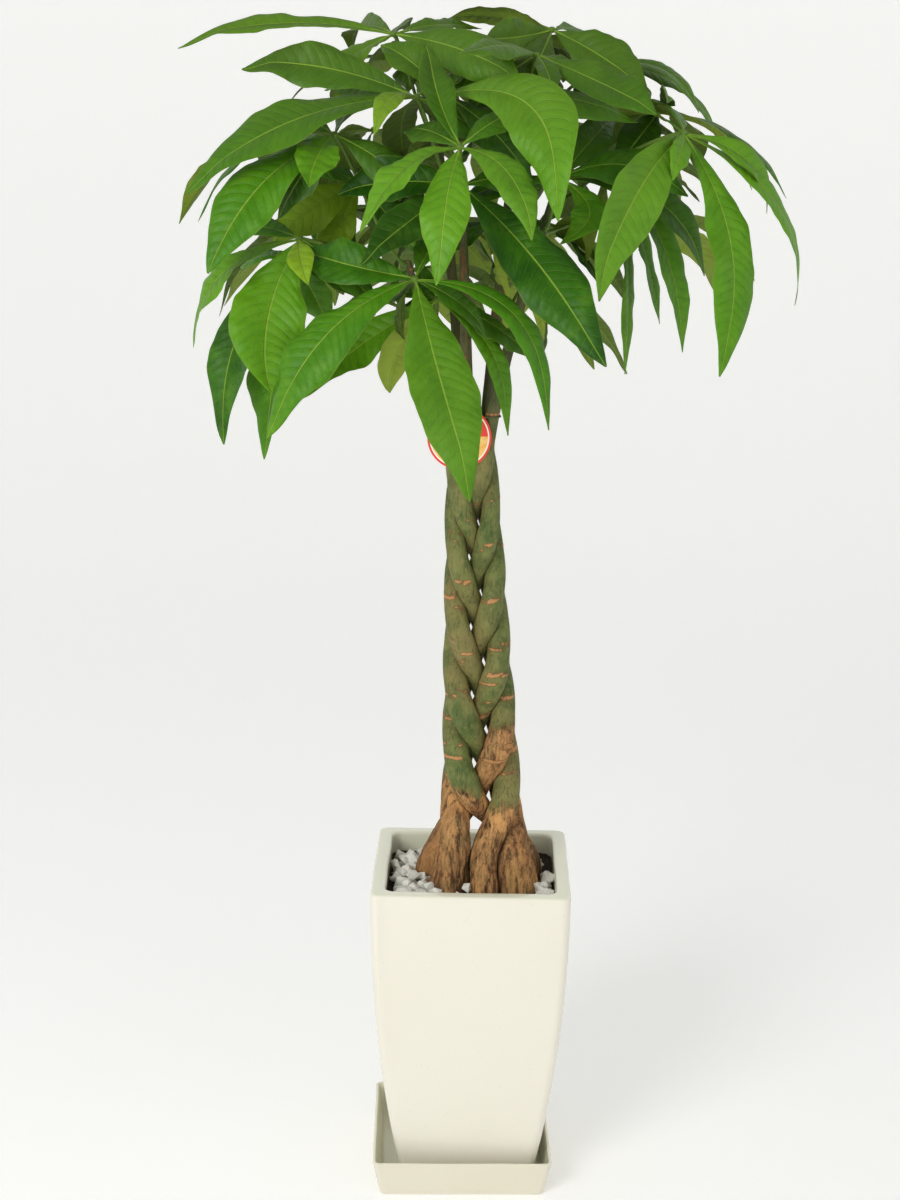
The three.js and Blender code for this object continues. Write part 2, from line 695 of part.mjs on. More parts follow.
// The leaf's stalk rises from its shoot and ends in a small hub.
function petioleBody({ trunk, from, hub }, grow = 0) {
  const end = vec(...hub);
  const shoot = trunkPoint(trunk, from);
  const outward = vec(end.x - shoot.x, end.y - shoot.y, 0).normalize();
  const start = shoot.clone().addScaledVector(outward, trunkSize(trunk, from)[0] + 2 * GAP + grow);
  const reach = Math.hypot(end.x - start.x, end.y - start.y);
  const { leave, arrive } = PETIOLE;
  const leaving = start.clone().addScaledVector(outward, leave.out + leave.reach * reach);
  leaving.z = lerp(start.z, end.z, leave.rise);
  const arriving = start.clone().lerp(end, arrive.reach);
  arriving.z = lerp(start.z, end.z, arrive.rise) + arrive.over;
  const curve = new THREE.CubicBezierCurve3(start, leaving, arriving, end);
  const knob = new THREE.OctahedronGeometry(LEAF.hub + grow, 0);
  knob.translate(end.x, end.y, end.z);
  const across = outward.clone().cross(UPWARD);
  return stalkBody(curve, across, PETIOLE.radius + grow).add(solid(knob));
}

// Lays out the leaflets of a leaf behind.
function fanLeaf(leaf, place, random) {
  const hub = vec(...leaf.hub);
  const about = (size) => size * (random() - 0.5);
  const between = ({ least, spread }) => least + spread * random();
  const { heights } = FAN;
  const high = (hub.z - heights.low) / (heights.high - heights.low);
  const droop = lerp(FAN.droop.low, FAN.droop.high, high);
  const blades = [];
  for (let n = 0; n < FAN.count; n += 1) {
    const open = (n - (FAN.count - 1) / 2) * FAN.spread + about(FAN.jitter);
    const ahead = Math.cos(radians(open)) - 1;
    const length = leaf.reach * (1 + FAN.length.side * ahead) * between(FAN.length);
    const fall = radians(droop * (1 + FAN.droop.side * ahead) + about(FAN.droop.jitter));
    const way = radians(leaf.azimuth + open);
    const level = length * Math.cos(fall);
    const run = vec(level * Math.cos(way), level * Math.sin(way), -length * Math.sin(fall));
    const tip = hub.clone().add(run);
    const arch = length * between(FAN.arch);
    const sway = length * about(FAN.sway);
    blades.push([tip.x, tip.y, tip.z, length * FAN.width, arch, sway, about(FAN.roll)]);
  }
  return { ...leaf, name: `leaf_back_${place + 1}`, blades };
}

function bendsByReach() {
  const bends = [];
  for (let lift = -BEND.most; lift <= BEND.most; lift += 1) {
    for (let swing = -BEND.most; swing <= BEND.most; swing += 1) bends.push([lift, swing]);
  }
  return bends.sort((a, b) => Math.hypot(...a) - Math.hypot(...b) || a[0] - b[0] || a[1] - b[1]);
}

function bentRow(hub, row, [lift, swing]) {
  const tip = vec(...row);
  const { up, across } = leafletFrame(hub, tip);
  tip.addScaledVector(up, lift * BEND.step).addScaledVector(across, swing * BEND.step);
  return [tip.x, tip.y, tip.z, ...row.slice(3)];
}

const BENDS = bendsByReach();

function boxesMeet(a, b) {
  return [0, 1, 2].every((k) => a.min[k] <= b.max[k] && b.min[k] <= a.max[k]);
}

const meet = (a, b) => boxesMeet(a.box, b.box) && !a.body.intersect(b.body).isEmpty();
const boxed = (body, leaf) => ({ body, leaf, box: body.boundingBox() });

// The part of a leaflet past its stalk, which must clear the others of its own leaf too.
const PAST_STALK = 2;

// Whether a leaflet hangs clear of all other leaves, and of its own leaf's blades.
function hangsFree(hub, row, leaf, placed, blades) {
  const whole = boxed(leafletBody(hub, row, BEND.clear));
  const blade = boxed(leafletBody(hub, row, BEND.clear, PAST_STALK));
  return placed.every((other) => other.leaf === leaf || !meet(whole, other))
    && blades.every((other) => !meet(blade, other));
}

// Builds every leaf, with each leaflet bent clear of what is already in place.
function leafBodies(leaves, others) {
  const placed = others.map((body) => boxed(body));
  leaves.forEach((leaf) => placed.push(boxed(petioleBody(leaf), leaf)));
  return leaves.map((leaf) => {
    const hub = vec(...leaf.hub);
    const parts = [petioleBody(leaf)];
    const blades = [];
    leaf.blades.forEach((row) => {
      const rows = BENDS.map((bend) => bentRow(hub, row, bend));
      const bent = rows.find((tried) => hangsFree(hub, tried, leaf, placed, blades));
      if (!bent) throw new Error(`no room for a leaflet of ${leaf.name}`);
      const body = leafletBody(hub, bent);
      placed.push(boxed(body, leaf));
      blades.push(boxed(leafletBody(hub, bent, 0, PAST_STALK)));
      parts.push(body);
    });
    return joined(parts);
  });
}

const random = randomFrom(FAN.seed);
const leaves = [...FRONT_LEAVES, ...BACK_LEAVES.map((leaf, place) => fanLeaf(leaf, place, random))];
const trunks = TRUNKS.map((_, index) => solid(trunkBody(index)));

addPiece("saucer", saucerBody(), 0xe8e2cb, 0.3);
addPiece("pot", potBody(), 0xf2eddc, 0.25);
addPiece("soil", geometryOf(soilBody()), 0x231914, 0.95);
addPiece("white_stones", geometryOf(stonesBody()), 0xe1e1d4, 0.7);
trunks.forEach((body, index) => addPiece(`trunk_${index + 1}`, geometryOf(body), 0x5a6940, 0.8));
addPiece("tie", tieBody(), 0x4b5a34, 0.8);
addPiece("tag", tagBody(), 0xe13c1e, 0.5);
leafBodies(leaves, [...trunks, solid(tieBody()), solid(tagBody())]).forEach((body, index) => {
  addPiece(leaves[index].name, geometryOf(body), 0x4c8a28, 0.5);
});

export default tree;
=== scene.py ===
# %% [markdown]
# # A potted money tree
# Five young trunks are plaited while they are soft, and grow on in one tall square pot with a
# crown of palmate leaves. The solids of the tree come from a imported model. This lesson keeps
# their places and sizes and gives every piece its finished shape and surface.

# %% Load the frame
import itertools
import math
import random

import bmesh
import bpy
from mathutils import Matrix, Vector, noise
from mathutils.geometry import interpolate_bezier
from mathutils.kdtree import KDTree


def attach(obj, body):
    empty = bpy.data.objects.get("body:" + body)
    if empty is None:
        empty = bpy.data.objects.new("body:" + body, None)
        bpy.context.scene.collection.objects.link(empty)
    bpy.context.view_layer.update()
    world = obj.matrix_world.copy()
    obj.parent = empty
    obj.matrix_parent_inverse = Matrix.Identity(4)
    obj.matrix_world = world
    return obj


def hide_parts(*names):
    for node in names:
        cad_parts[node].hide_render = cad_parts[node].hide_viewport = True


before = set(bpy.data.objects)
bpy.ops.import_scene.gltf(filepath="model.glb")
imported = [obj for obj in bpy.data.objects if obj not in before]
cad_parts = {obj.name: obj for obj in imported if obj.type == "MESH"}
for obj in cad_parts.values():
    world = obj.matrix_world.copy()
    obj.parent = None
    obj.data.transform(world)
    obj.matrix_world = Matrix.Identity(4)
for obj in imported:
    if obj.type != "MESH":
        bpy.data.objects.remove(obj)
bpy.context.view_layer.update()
MM = 0.001
TURN = 2 * math.pi

# %% [markdown]
# ## Small tools for shapes
# Most pieces are skins over rows of points: a row for each ring of a pot or step along a leaf.
# One collector gathers points, faces and values for the shader, in millimetres, and turns them
# into an object at the end. Edges that meet at a steep angle are marked sharp, so that a thin
# blade shades as two smooth faces and not as one swollen one.

# %% A collector for points and faces
def lerp(a, b, share):
    return a + (b - a) * share


def smooth(value, low, high):
    share = min(max((value - low) / (high - low), 0), 1)
    return share * share * (3 - 2 * share)


class Shape:
    """Gathers points (mm), faces, and a pair of vectors for the shader at each point."""

    def __init__(self):
        self.points, self.faces, self.place, self.look = [], [], [], []

    def row(self, points, places=None, look=(0, 0, 0)):
        first = len(self.points)
        self.points.extend(points)
        self.place.extend(places or [(0, 0, 0)] * len(points))
        self.look.extend([look] * len(points))
        return list(range(first, len(self.points)))

    def strip(self, low, high, closed=False, flip=False):
        count = len(low)
        for n in range(count if closed else count - 1):
            m = (n + 1) % count
            face = (low[n], low[m], high[m], high[n])
            self.faces.append(face[::-1] if flip else face)

    def skin(self, rows, closed=True, flip=False):
        for low, high in zip(rows, rows[1:]):
            self.strip(low, high, closed, flip)

    def cap(self, row, flip=False):
        self.faces.append(tuple(row[::-1] if flip else row))

    def object(self, name, slot, sharp=50):
        mesh = bpy.data.meshes.new(name)
        mesh.from_pydata([tuple(c * MM for c in p) for p in self.points], [], self.faces)
        for label, values in (("place", self.place), ("look", self.look)):
            layer = mesh.attributes.new(label, "FLOAT_VECTOR", "POINT")
            layer.data.foreach_set("vector", [c for v in values for c in v])
        work = bmesh.new()
        work.from_mesh(mesh)
        bmesh.ops.recalc_face_normals(work, faces=work.faces)
        for face in work.faces:
            face.smooth = True
        for edge in work.edges:
            edge.smooth = edge.calc_face_angle(0) < math.radians(sharp)
        work.to_mesh(mesh)
        work.free()
        return placed(name, mesh)


def placed(name, mesh):
    """An object that stands for the solid of the same name."""
    made = bpy.data.objects.new(name, mesh)
    bpy.context.scene.collection.objects.link(made)
    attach(made, "root")
    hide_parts(name)
    print(name, "has", len(mesh.polygons), "faces")
    return made


print("shapes are drawn in steps of", MM, "m")

# %% [markdown]
# ## Shader maths as plain expressions
# A material is a net of nodes, and a long net built call by call is hard to read back. Wrapping
# a socket in a small class with Python's operators lets the maths read as maths. Colours are
# mixed with Mix nodes, because a Math node would turn them grey.

# %% Values
class Value:
    """A number or colour that a node gives, with Python's own operators."""

    def __init__(self, finish, socket):
        self.finish, self.socket = finish, socket

    def math(self, operation, *others):
        inputs = dict(enumerate((self, *others)))
        return self.finish.node("Math", {"operation": operation}, inputs)

    def __add__(self, other):
        return self.math("ADD", other)

    def __mul__(self, other):
        return self.math("MULTIPLY", other)

    def __sub__(self, other):
        return self.math("SUBTRACT", other)

    def __rsub__(self, other):
        return self.finish.node("Math", {"operation": "SUBTRACT"}, {0: other, 1: self})

    def __pow__(self, other):
        return self.math("POWER", other)

    def __abs__(self):
        return self.math("ABSOLUTE")

    __radd__ = __add__
    __rmul__ = __mul__

    def rise(self, low, high):
        """0 below `low` and 1 above `high`, with a soft step between."""
        settings = {"interpolation_type": "SMOOTHSTEP"}
        inputs = {"Value": self, "From Min": low, "From Max": high}
        return self.finish.node("MapRange", settings, inputs)


print("values know + - * ** and abs")

# %% Colours and finishes
def tint(red, green, blue):
    """A colour from the numbers 0 to 255 of a paint program."""
    linear = []
    for c in (red / 255, green / 255, blue / 255):
        linear.append(c / 12.92 if c <= 0.04045 else ((c + 0.055) / 1.055) ** 2.4)
    return (*linear, 1)


class Finish:
    """A material, and the one way to add a node to it."""

    def __init__(self, name):
        self.material = bpy.data.materials.new(name)
        self.material.use_nodes = True
        self.tree = self.material.node_tree
        self.tree.nodes.clear()

    def node(self, kind, settings, inputs, output=0):
        made = self.tree.nodes.new("ShaderNode" + kind)
        for name, value in settings.items():
            setattr(made, name, value)
        for name, value in inputs.items():
            if isinstance(value, Value):
                self.tree.links.new(value.socket, made.inputs[name])
            else:
                made.inputs[name].default_value = value
        return Value(self, made.outputs[output]) if made.outputs else made

    def mix(self, share, first, second):
        """A blend of two colours. On a Mix node, 6, 7 and the output 2 are its colour sockets."""
        return self.node("Mix", {"data_type": "RGBA"}, {0: share, 6: first, 7: second}, 2)

    def parts(self, vector):
        made = self.node("SeparateXYZ", {}, {0: vector}).socket.node
        return [Value(self, socket) for socket in made.outputs]

    def given(self, label):
        """The three numbers that a shape stored under `label`."""
        return self.parts(self.node("Attribute", {"attribute_name": label}, {}, "Vector"))

    def spot(self, *scale):
        """Where a point is on the object, in metres times `scale`."""
        inside = self.node("TexCoord", {}, {}, "Object")
        return self.node("Mapping", {}, {"Vector": inside, "Scale": scale})

    def grain(self, scale, detail=4, rough=0.55, stretch=(1, 1, 1)):
        inputs = {"Vector": self.spot(*stretch), "Scale": scale, "Detail": detail, "Roughness": rough}
        return self.node("TexNoise", {}, inputs)

    def bump(self, height, distance, strength=1.0):
        inputs = {"Height": height, "Distance": distance, "Strength": strength}
        return self.node("Bump", {}, inputs)

    def surface(self, **inputs):
        named = {name.replace("_", " "): value for name, value in inputs.items()}
        return self.node("BsdfPrincipled", {}, named)

    def done(self, shader):
        self.node("OutputMaterial", {}, {"Surface": shader})
        return self.material


print("shader tools ready")

# %% [markdown]
# ## The studio
# A tall plant is seen from standing height, a few steps away and a little down. A flat sheet
# behind it would show its end from the side and hide the plant from the back. The backdrop is
# a wide pale bowl instead: a flat floor that curves up into a wall all round, so that no
# horizon shows from any side. It glows faintly, as a light tent does. One large lamp from the
# upper left models the leaves, and a weak one opens the shadows.

# %% Camera
EYE = {"side": -0.082, "away": 2.8, "height": 1.536, "yaw": 1.14, "down": 13.6, "roll": 0.77}
FILM = {"lens": 40.94, "height": 24}


def aim(eye):
    yaw, down, roll = (math.radians(eye[key]) for key in ("yaw", "down", "roll"))
    right = Vector((math.cos(yaw), -math.sin(yaw), 0))
    ahead = Vector((math.sin(yaw), math.cos(yaw), 0)) * math.cos(down) - Vector((0, 0, math.sin(down)))
    up = right.cross(ahead)
    turned = right * math.cos(roll) + up * math.sin(roll)
    axes = Matrix((turned, turned.cross(ahead), -ahead)).transposed().to_4x4()
    return Matrix.Translation((eye["side"], -eye["away"], eye["height"])) @ axes


lens = bpy.data.cameras.new("camera")
lens.sensor_fit, lens.sensor_height, lens.lens = "VERTICAL", FILM["height"], FILM["lens"]
camera = bpy.data.objects.new("camera", lens)
camera.matrix_world = aim(EYE)
bpy.context.scene.collection.objects.link(camera)
bpy.context.scene.camera = camera
print("camera at", [round(c, 2) for c in camera.location])

# %% Backdrop and lights
BOWL = {"radius": 7000, "bend": 2600, "high": 6000, "sides": 96, "curve": 14, "glow": 0.215}
LIGHTS = {
    "key": {"at": (-1.9, -3.0, 2.3), "size": 1.7, "watts": 62},
    "fill": {"at": (2.4, -2.6, 1.4), "size": 2.4, "watts": 6},
}
LIT = (0, 0, 0.9)
SKY = 0.43
PAPER = (246, 246, 244)
WHITE = (1, 1, 1, 1)


def backdrop():
    floor_reach, bend = BOWL["radius"] - BOWL["bend"], BOWL["bend"]
    profile = [(1, 0), (floor_reach / 3, 0), (floor_reach, 0)]
    for step in range(1, BOWL["curve"] + 1):
        angle = math.pi / 2 * step / BOWL["curve"]
        profile.append((floor_reach + bend * math.sin(angle), bend * (1 - math.cos(angle))))
    profile.append((BOWL["radius"], BOWL["high"]))
    sheet, rows = Shape(), []
    turns = [TURN * side / BOWL["sides"] for side in range(BOWL["sides"])]
    for radius, z in profile:
        rows.append(sheet.row([(radius * math.cos(turn), radius * math.sin(turn), z) for turn in turns]))
    sheet.skin(rows)
    sheet.cap(rows[0])
    mesh = bpy.data.meshes.new("backdrop")
    mesh.from_pydata([tuple(c * MM for c in p) for p in sheet.points], [], sheet.faces)
    mesh.shade_smooth()
    made = bpy.data.objects.new("backdrop", mesh)
    bpy.context.scene.collection.objects.link(made)
    paper = Finish("backdrop_paper")
    mesh.materials.append(paper.done(paper.surface(
        Base_Color=tint(*PAPER), Roughness=0.9,
        Emission_Color=WHITE, Emission_Strength=BOWL["glow"])))


def light(name, at, size, watts):
    lamp = bpy.data.lights.new(name, "AREA")
    lamp.shape, lamp.size, lamp.energy = "DISK", size, watts
    made = bpy.data.objects.new(name, lamp)
    made.location = at
    towards = Vector(LIT) - made.location
    made.rotation_euler = towards.to_track_quat("-Z", "Y").to_euler()
    bpy.context.scene.collection.objects.link(made)


backdrop()
for name, settings in LIGHTS.items():
    light(name, **settings)
world = bpy.data.worlds.new("studio")
world.use_nodes = True
sky = world.node_tree.nodes["Background"]
sky.inputs["Color"].default_value = WHITE
sky.inputs["Strength"].default_value = SKY
bpy.context.scene.world = world
bpy.context.scene.view_settings.view_transform = "Standard"
print("lights:", ", ".join(LIGHTS))

# %% [markdown]
# ## Saucer and pot
# Both are slip-cast and glazed in one cream. A box with a Bevel modifier would give round edges
# too, but not sides that bow in on their way to the foot. A skin over square rings with round
# corners follows the solids exactly, with more rings where the rim and the foot curl over, and
# each ring may waver a little, as cast clay does.

# %% Their sizes
GAP = 0.3
SAUCER = {"height": 54, "foot": 118, "top": 129, "bow": 0.8, "wall": 4.5, "floor": 10, "corner": 9,
          "inner_corner": 6, "foot_edge": 2, "rim_edge": 1.6, "cove": 5, "sole": (7, 2), "lip": 2,
          "slack": 0.2, "rings": (16, 12), "cove_at": (0.3, 0.7, 1.1, 1.5)}
POT = {"top": 468, "rim": 140, "foot": 95, "wall": 20, "lower": 11, "corner": 13,
       "inner_corner": 16, "foot_edge": 4, "rim_edge": 3, "lip_edge": 4, "clear": 0.5, "sole": 8,
       "rings": (44, 12), "bed": {"under": 5, "inwards": 12}}
POT_AT = {"x": 10, "turn": math.radians(-2)}
POT_FOOT = SAUCER["floor"] + GAP
UNDER_SOIL = 400
SIDE_STEPS, CORNER_STEPS = 14, 8
WAVER = {"side": 7, "along": 0.012, "rise": 0.009, "reach": 0.02}
INNER_FADE = 8


def square_ring(half, corner, z, x=0.0, turn=0.0, sag=0.0):
    """A square ring with round corners. `sag` lets its sides waver a little, as cast clay does."""
    ring = []
    middle = half - corner
    for side in range(4):
        facing = side * TURN / 4
        for step in range(SIDE_STEPS):
            along = lerp(-middle, middle, step / SIDE_STEPS)
            spot = (side * WAVER["side"] + along * WAVER["along"], z * WAVER["rise"], half * WAVER["reach"])
            ring.append((facing, half + sag * noise.noise(spot), along))
        for step in range(CORNER_STEPS):
            angle = TURN / 4 * step / CORNER_STEPS
            out = middle + corner * math.cos(angle)
            ring.append((facing, out, middle + corner * math.sin(angle)))
    points = []
    for facing, out, along in ring:
        px = out * math.cos(facing) - along * math.sin(facing)
        py = out * math.sin(facing) + along * math.cos(facing)
        points.append((
            px * math.cos(turn) - py * math.sin(turn) + x,
            px * math.sin(turn) + py * math.cos(turn),
            z,
        ))
    return points


def pot_rise(z):
    return (z - POT_FOOT) / (POT["top"] - POT_FOOT)


def pot_half(z):
    return POT["rim"] - (POT["rim"] - POT["foot"]) * (1 - pot_rise(z)) ** 2


def pot_inside(z):
    return pot_half(z) - lerp(POT["lower"], POT["wall"], pot_rise(z))


print("pot foot stands at", POT_FOOT, "mm")

# %% Round edges
def rounded(radius, steps=5):
    """Pairs (inwards, upwards) for a quarter round edge that ends level."""
    angles = [math.pi / 2 * step / steps for step in range(steps + 1)]
    return [(radius * (1 - math.cos(a)), radius * (math.sin(a) - 1)) for a in angles]


def foot_edge(half_at, foot, radius, corner):
    """Rings that curl from a flat foot up into the side."""
    edge = reversed(rounded(radius))
    return [(half_at(foot + radius) - inwards, foot - upwards, corner) for inwards, upwards in edge]


def rim_edge(top, outside, opening, radii, corners):
    """Rings that roll over a rim, from the outside to the inside."""
    over = [(outside - inwards, top + upwards, corners[0]) for inwards, upwards in rounded(radii[0])]
    down = [(opening + inwards, top + upwards, corners[1]) for inwards, upwards in rounded(radii[1])]
    return over + down[::-1]


print("rings on a round edge:", len(rounded(1)))

# %% Skins over rings
def saucer_half(z):
    return lerp(SAUCER["foot"], SAUCER["top"], (z / SAUCER["height"]) ** SAUCER["bow"])


def saucer_inside(z):
    return saucer_half(z) - SAUCER["wall"]


def pot_lining(z):
    return pot_inside(z) - POT["clear"]


def side_rings(half_at, start, end, steps, corner):
    """Rings along a side, between two heights."""
    heights = [lerp(start, end, step / steps) for step in range(1, steps)]
    return [(half_at(z), z, corner) for z in heights]


def saucer_rings():
    s, corners = SAUCER, (SAUCER["corner"], SAUCER["inner_corner"])
    under_rim, bottom = s["height"] - s["lip"], s["floor"] + s["cove"]
    rings = [(s["foot"] - inwards, 0, corners[0]) for inwards in s["sole"]]
    rings += foot_edge(saucer_half, 0, s["foot_edge"], corners[0])
    rings += side_rings(saucer_half, s["foot_edge"], under_rim, s["rings"][0], corners[0])
    opening = s["top"] - s["wall"] + s["slack"]
    rings += rim_edge(s["height"], s["top"], opening, (s["rim_edge"], s["rim_edge"]), corners)
    rings += side_rings(saucer_inside, under_rim, bottom, s["rings"][1], corners[1])
    for angle in s["cove_at"]:
        inwards, down = s["cove"] * (1 - math.cos(angle)), s["cove"] * math.sin(angle)
        rings.append((saucer_inside(bottom) - inwards, bottom - down, corners[1]))
    return rings


def pot_rings():
    p, corners = POT, (POT["corner"], POT["inner_corner"])
    rings = [(p["foot"] - p["sole"], POT_FOOT, corners[0])]
    rings += foot_edge(pot_half, POT_FOOT, p["foot_edge"], corners[0])
    low, high = POT_FOOT + p["foot_edge"], p["top"] - p["rim_edge"]
    rings += side_rings(pot_half, low, high, p["rings"][0], corners[0])
    opening = p["rim"] - p["wall"] - p["clear"]
    rings += rim_edge(p["top"], p["rim"], opening, (p["rim_edge"], p["lip_edge"]), corners)
    rings += side_rings(pot_lining, p["top"] - p["lip_edge"], UNDER_SOIL, p["rings"][1], corners[1])
    low = UNDER_SOIL - p["bed"]["under"]
    rings.append((pot_inside(low) - p["bed"]["inwards"], low, corners[0]))
    return rings


print("rings of the pot:", len(pot_rings()), "and of its saucer:", len(saucer_rings()))

# %% Saucer and pot
def cast_piece(name, slot, rings, x=0.0, turn=0.0, sag=0.0):
    shape = Shape()
    rows = []
    highest = max(range(len(rings)), key=lambda place: rings[place][1])
    for place, (half, z, corner) in enumerate(rings):
        ring = square_ring(half, corner, z, x, turn, sag)
        inside = smooth(place, highest, highest + INNER_FADE)
        rows.append(shape.row(ring, [(inside, 0, 0)] * len(ring)))
    shape.skin(rows)
    shape.cap(rows[0], flip=True)
    shape.cap(rows[-1])
    return shape.object(name, slot, sharp=60)


saucer = cast_piece("saucer", "saucer_glaze", saucer_rings(), sag=1.0)
pot = cast_piece("pot", "pot_glaze", pot_rings(), POT_AT["x"], POT_AT["turn"], sag=1.6)

# %% [markdown]
# The glaze is a clear coat over cream clay, thinner and greener on level edges, and those level
# tops near the rim are also painted lighter, which is painted light. The pot's inside is painted
# a darker grey-green, which is painted shade. One flat colour would look like plastic, and an image
# of glaze would need to be fitted to the sides. Broad, faint clouds of noise vary its tone instead,
# and a few pinholes and specks show where gas left the clay. The Coat of the shader gives the wet
# shine.

# %% Cream glaze
# edge is the colour of level faces near the rim: partly a thinner, greener glaze, partly painted light on
# the tops.
GLAZES = {
    "cream_glaze": {"body": (229, 225, 211), "thin": (224, 219, 203),
                    # On the pot the inside colour is a darker grey-green than the body, painted shade in
                    # the hollow; on the saucer it is a lighter, greener glaze.
                    "edge": (242, 242, 220), "inner_glaze_and_shade": (190, 194, 170)},
    "saucer_glaze": {"body": (221, 217, 198), "thin": (216, 210, 190),
                     "edge": (236, 233, 210), "inner_glaze_and_shade": (230, 232, 208)},
}


def glaze(name, rim_height):
    f = Finish(name)
    body, thin, edge, inner_glaze_and_shade = (tint(*GLAZES[name][key]) for key in ("body", "thin", "edge", "inner_glaze_and_shade"))
    clouds = f.grain(6, 1)
    color = f.mix(clouds, body, thin)
    height = f.parts(f.spot(1000, 1000, 1000))[2]
    specks = f.grain(420, 2, 0.4).rise(0.70, 0.76)
    color = f.mix(specks * 0.25, color, tint(150, 140, 110))
    facing = f.parts(f.node("NewGeometry", {}, {}, "Normal"))[2]
    # Faces that look up near the rim take the edge colour: partly a thinner, greener glaze, partly painted
    # light on the tops.
    level = facing.rise(0.5, 0.95) * height.rise(rim_height - 12, rim_height - 2)
    color = f.mix(level, color, edge)
    # The inside takes its own colour; on the pot this darker grey-green is painted shade inside the pot.
    inside = f.given("place")[0]
    color = f.mix(inside, color, f.mix(clouds, inner_glaze_and_shade, edge))
    pits = f.grain(650, 1, 0.4).rise(0.28, 0.2)
    relief = f.grain(16, 2) - pits * 0.15
    shader = f.surface(
        Base_Color=color, Roughness=0.18 + 0.1 * clouds, Specular_IOR_Level=0.5,
        Coat_Weight=0.35, Coat_Roughness=0.1, Normal=f.bump(relief, 0.0011, 0.4))
    return f.done(shader)


pot.data.materials.append(glaze("cream_glaze", POT["top"]))
saucer.data.materials.append(glaze("saucer_glaze", SAUCER["height"]))
print("glazes:", ", ".join(GLAZES))

# %% [markdown]
# ## The plait
# Five curves with a bevel could be drawn by hand, but a formula keeps every crossing clear. Each
# trunk follows a flat figure of eight as it rises, a fifth of a period behind its neighbour, so
# that the five cross in turn. They have grown until they press on each other, so the finished
# trunks are a little fatter than their solids. Under the plait each eases out to its own swollen
# foot, and over it each goes its own way as a thin shoot.

# %% Sizes of the plait
SOIL = {"top": 436, "sink": 32, "clear": 1.2}
BRAID = {
    "foot_x": 30, "foot_z": 424, "lean": -0.046, "start": 560, "end": 1065, "period": 503,
    "first_dive": 845, "amplitude": 38, "taper": 0.03, "depth": 0.72, "flat": 0.57, "thin": 0.5,
    "turn_from": 500, "look": 4,
}
SETTLE = {"x": 1, "y": 0.75, "size": 1.65}
SHOOT = {"base": 13.6, "tip": 4.5, "lean": 1.25, "round": 4}
FOOT_SWELL = 1.09
TRUNKS = [
    {"foot": (-72, 30), "radius": 28, "tip": (-50, 60, 1500)},
    {"foot": (-2, -47), "radius": 19, "tip": (115, -10, 1450)},
    {"foot": (44, -27), "radius": 29, "tip": (60, 55, 1540)},
    {"foot": (54, 42), "radius": 28, "tip": (-20, -70, 1445)},
    {"foot": (-53, -27), "radius": 26, "tip": (-90, -55, 1335), "spread": 0.55},
]
print("trunks:", len(TRUNKS))

# %% The line of each trunk
def swing_at(z):
    return BRAID["amplitude"] - BRAID["taper"] * (z - 600)


def braid_point(index, z):
    dive = BRAID["first_dive"] - index * BRAID["period"] / len(TRUNKS)
    angle = TURN * (dive - z) / BRAID["period"]
    swing = swing_at(z)
    x = BRAID["foot_x"] + BRAID["lean"] * (z - BRAID["foot_z"]) + swing * math.sin(angle)
    return Vector((x, BRAID["depth"] * swing * math.sin(2 * angle), z))


def standing(z, power):
    """1 at the soil and 0 where the plait starts."""
    return (1 - smooth(z, SOIL["top"], BRAID["start"])) ** power


def trunk_point(index, z):
    trunk = TRUNKS[index]
    if z > BRAID["end"]:
        start = braid_point(index, BRAID["end"])
        share = (z - BRAID["end"]) / (trunk["tip"][2] - BRAID["end"])
        point = start.lerp(Vector(trunk["tip"]), share ** SHOOT["lean"])
        return Vector((point.x, point.y, z))
    point = braid_point(index, max(z, SOIL["top"]))
    foot_x, foot_y = BRAID["foot_x"] + trunk["foot"][0], trunk["foot"][1]
    x = lerp(point.x, foot_x, standing(z, trunk.get("spread", SETTLE["x"])))
    return Vector((x, lerp(point.y, foot_y, standing(z, SETTLE["y"])), z))


def trunk_size(index, z):
    if z > BRAID["end"]:
        share = (z - BRAID["end"]) / (TRUNKS[index]["tip"][2] - BRAID["end"])
        radius = lerp(SHOOT["base"], SHOOT["tip"], math.sqrt(share))
        thin = radius * BRAID["thin"] / BRAID["flat"]
        return radius, lerp(thin, radius, min(1, share * SHOOT["round"]))
    swing = swing_at(max(z, BRAID["start"]))
    radius = TRUNKS[index]["radius"] * FOOT_SWELL
    eased = standing(z, SETTLE["size"])
    return lerp(swing * BRAID["flat"], radius, eased), lerp(swing * BRAID["thin"], radius, eased)


def trunk_facing(index, z):
    held = min(max(z, BRAID["turn_from"]), BRAID["end"])
    ahead = braid_point(index, held - BRAID["look"]) - braid_point(index, held + BRAID["look"])
    return math.atan2(ahead.y, ahead.x)


print("plait from", BRAID["start"], "to", BRAID["end"], "mm")

# %% [markdown]
# Bark shows how the plant grew. Every old leaf left a scar, a lighter band that goes part of the
# way round with a raised lip, and the foot is corky and split lengthwise. A bump in the material
# would leave the outline smooth, so both are in the mesh, and each point keeps how much of a
# scar, cork or crossing it is, for the material to read.

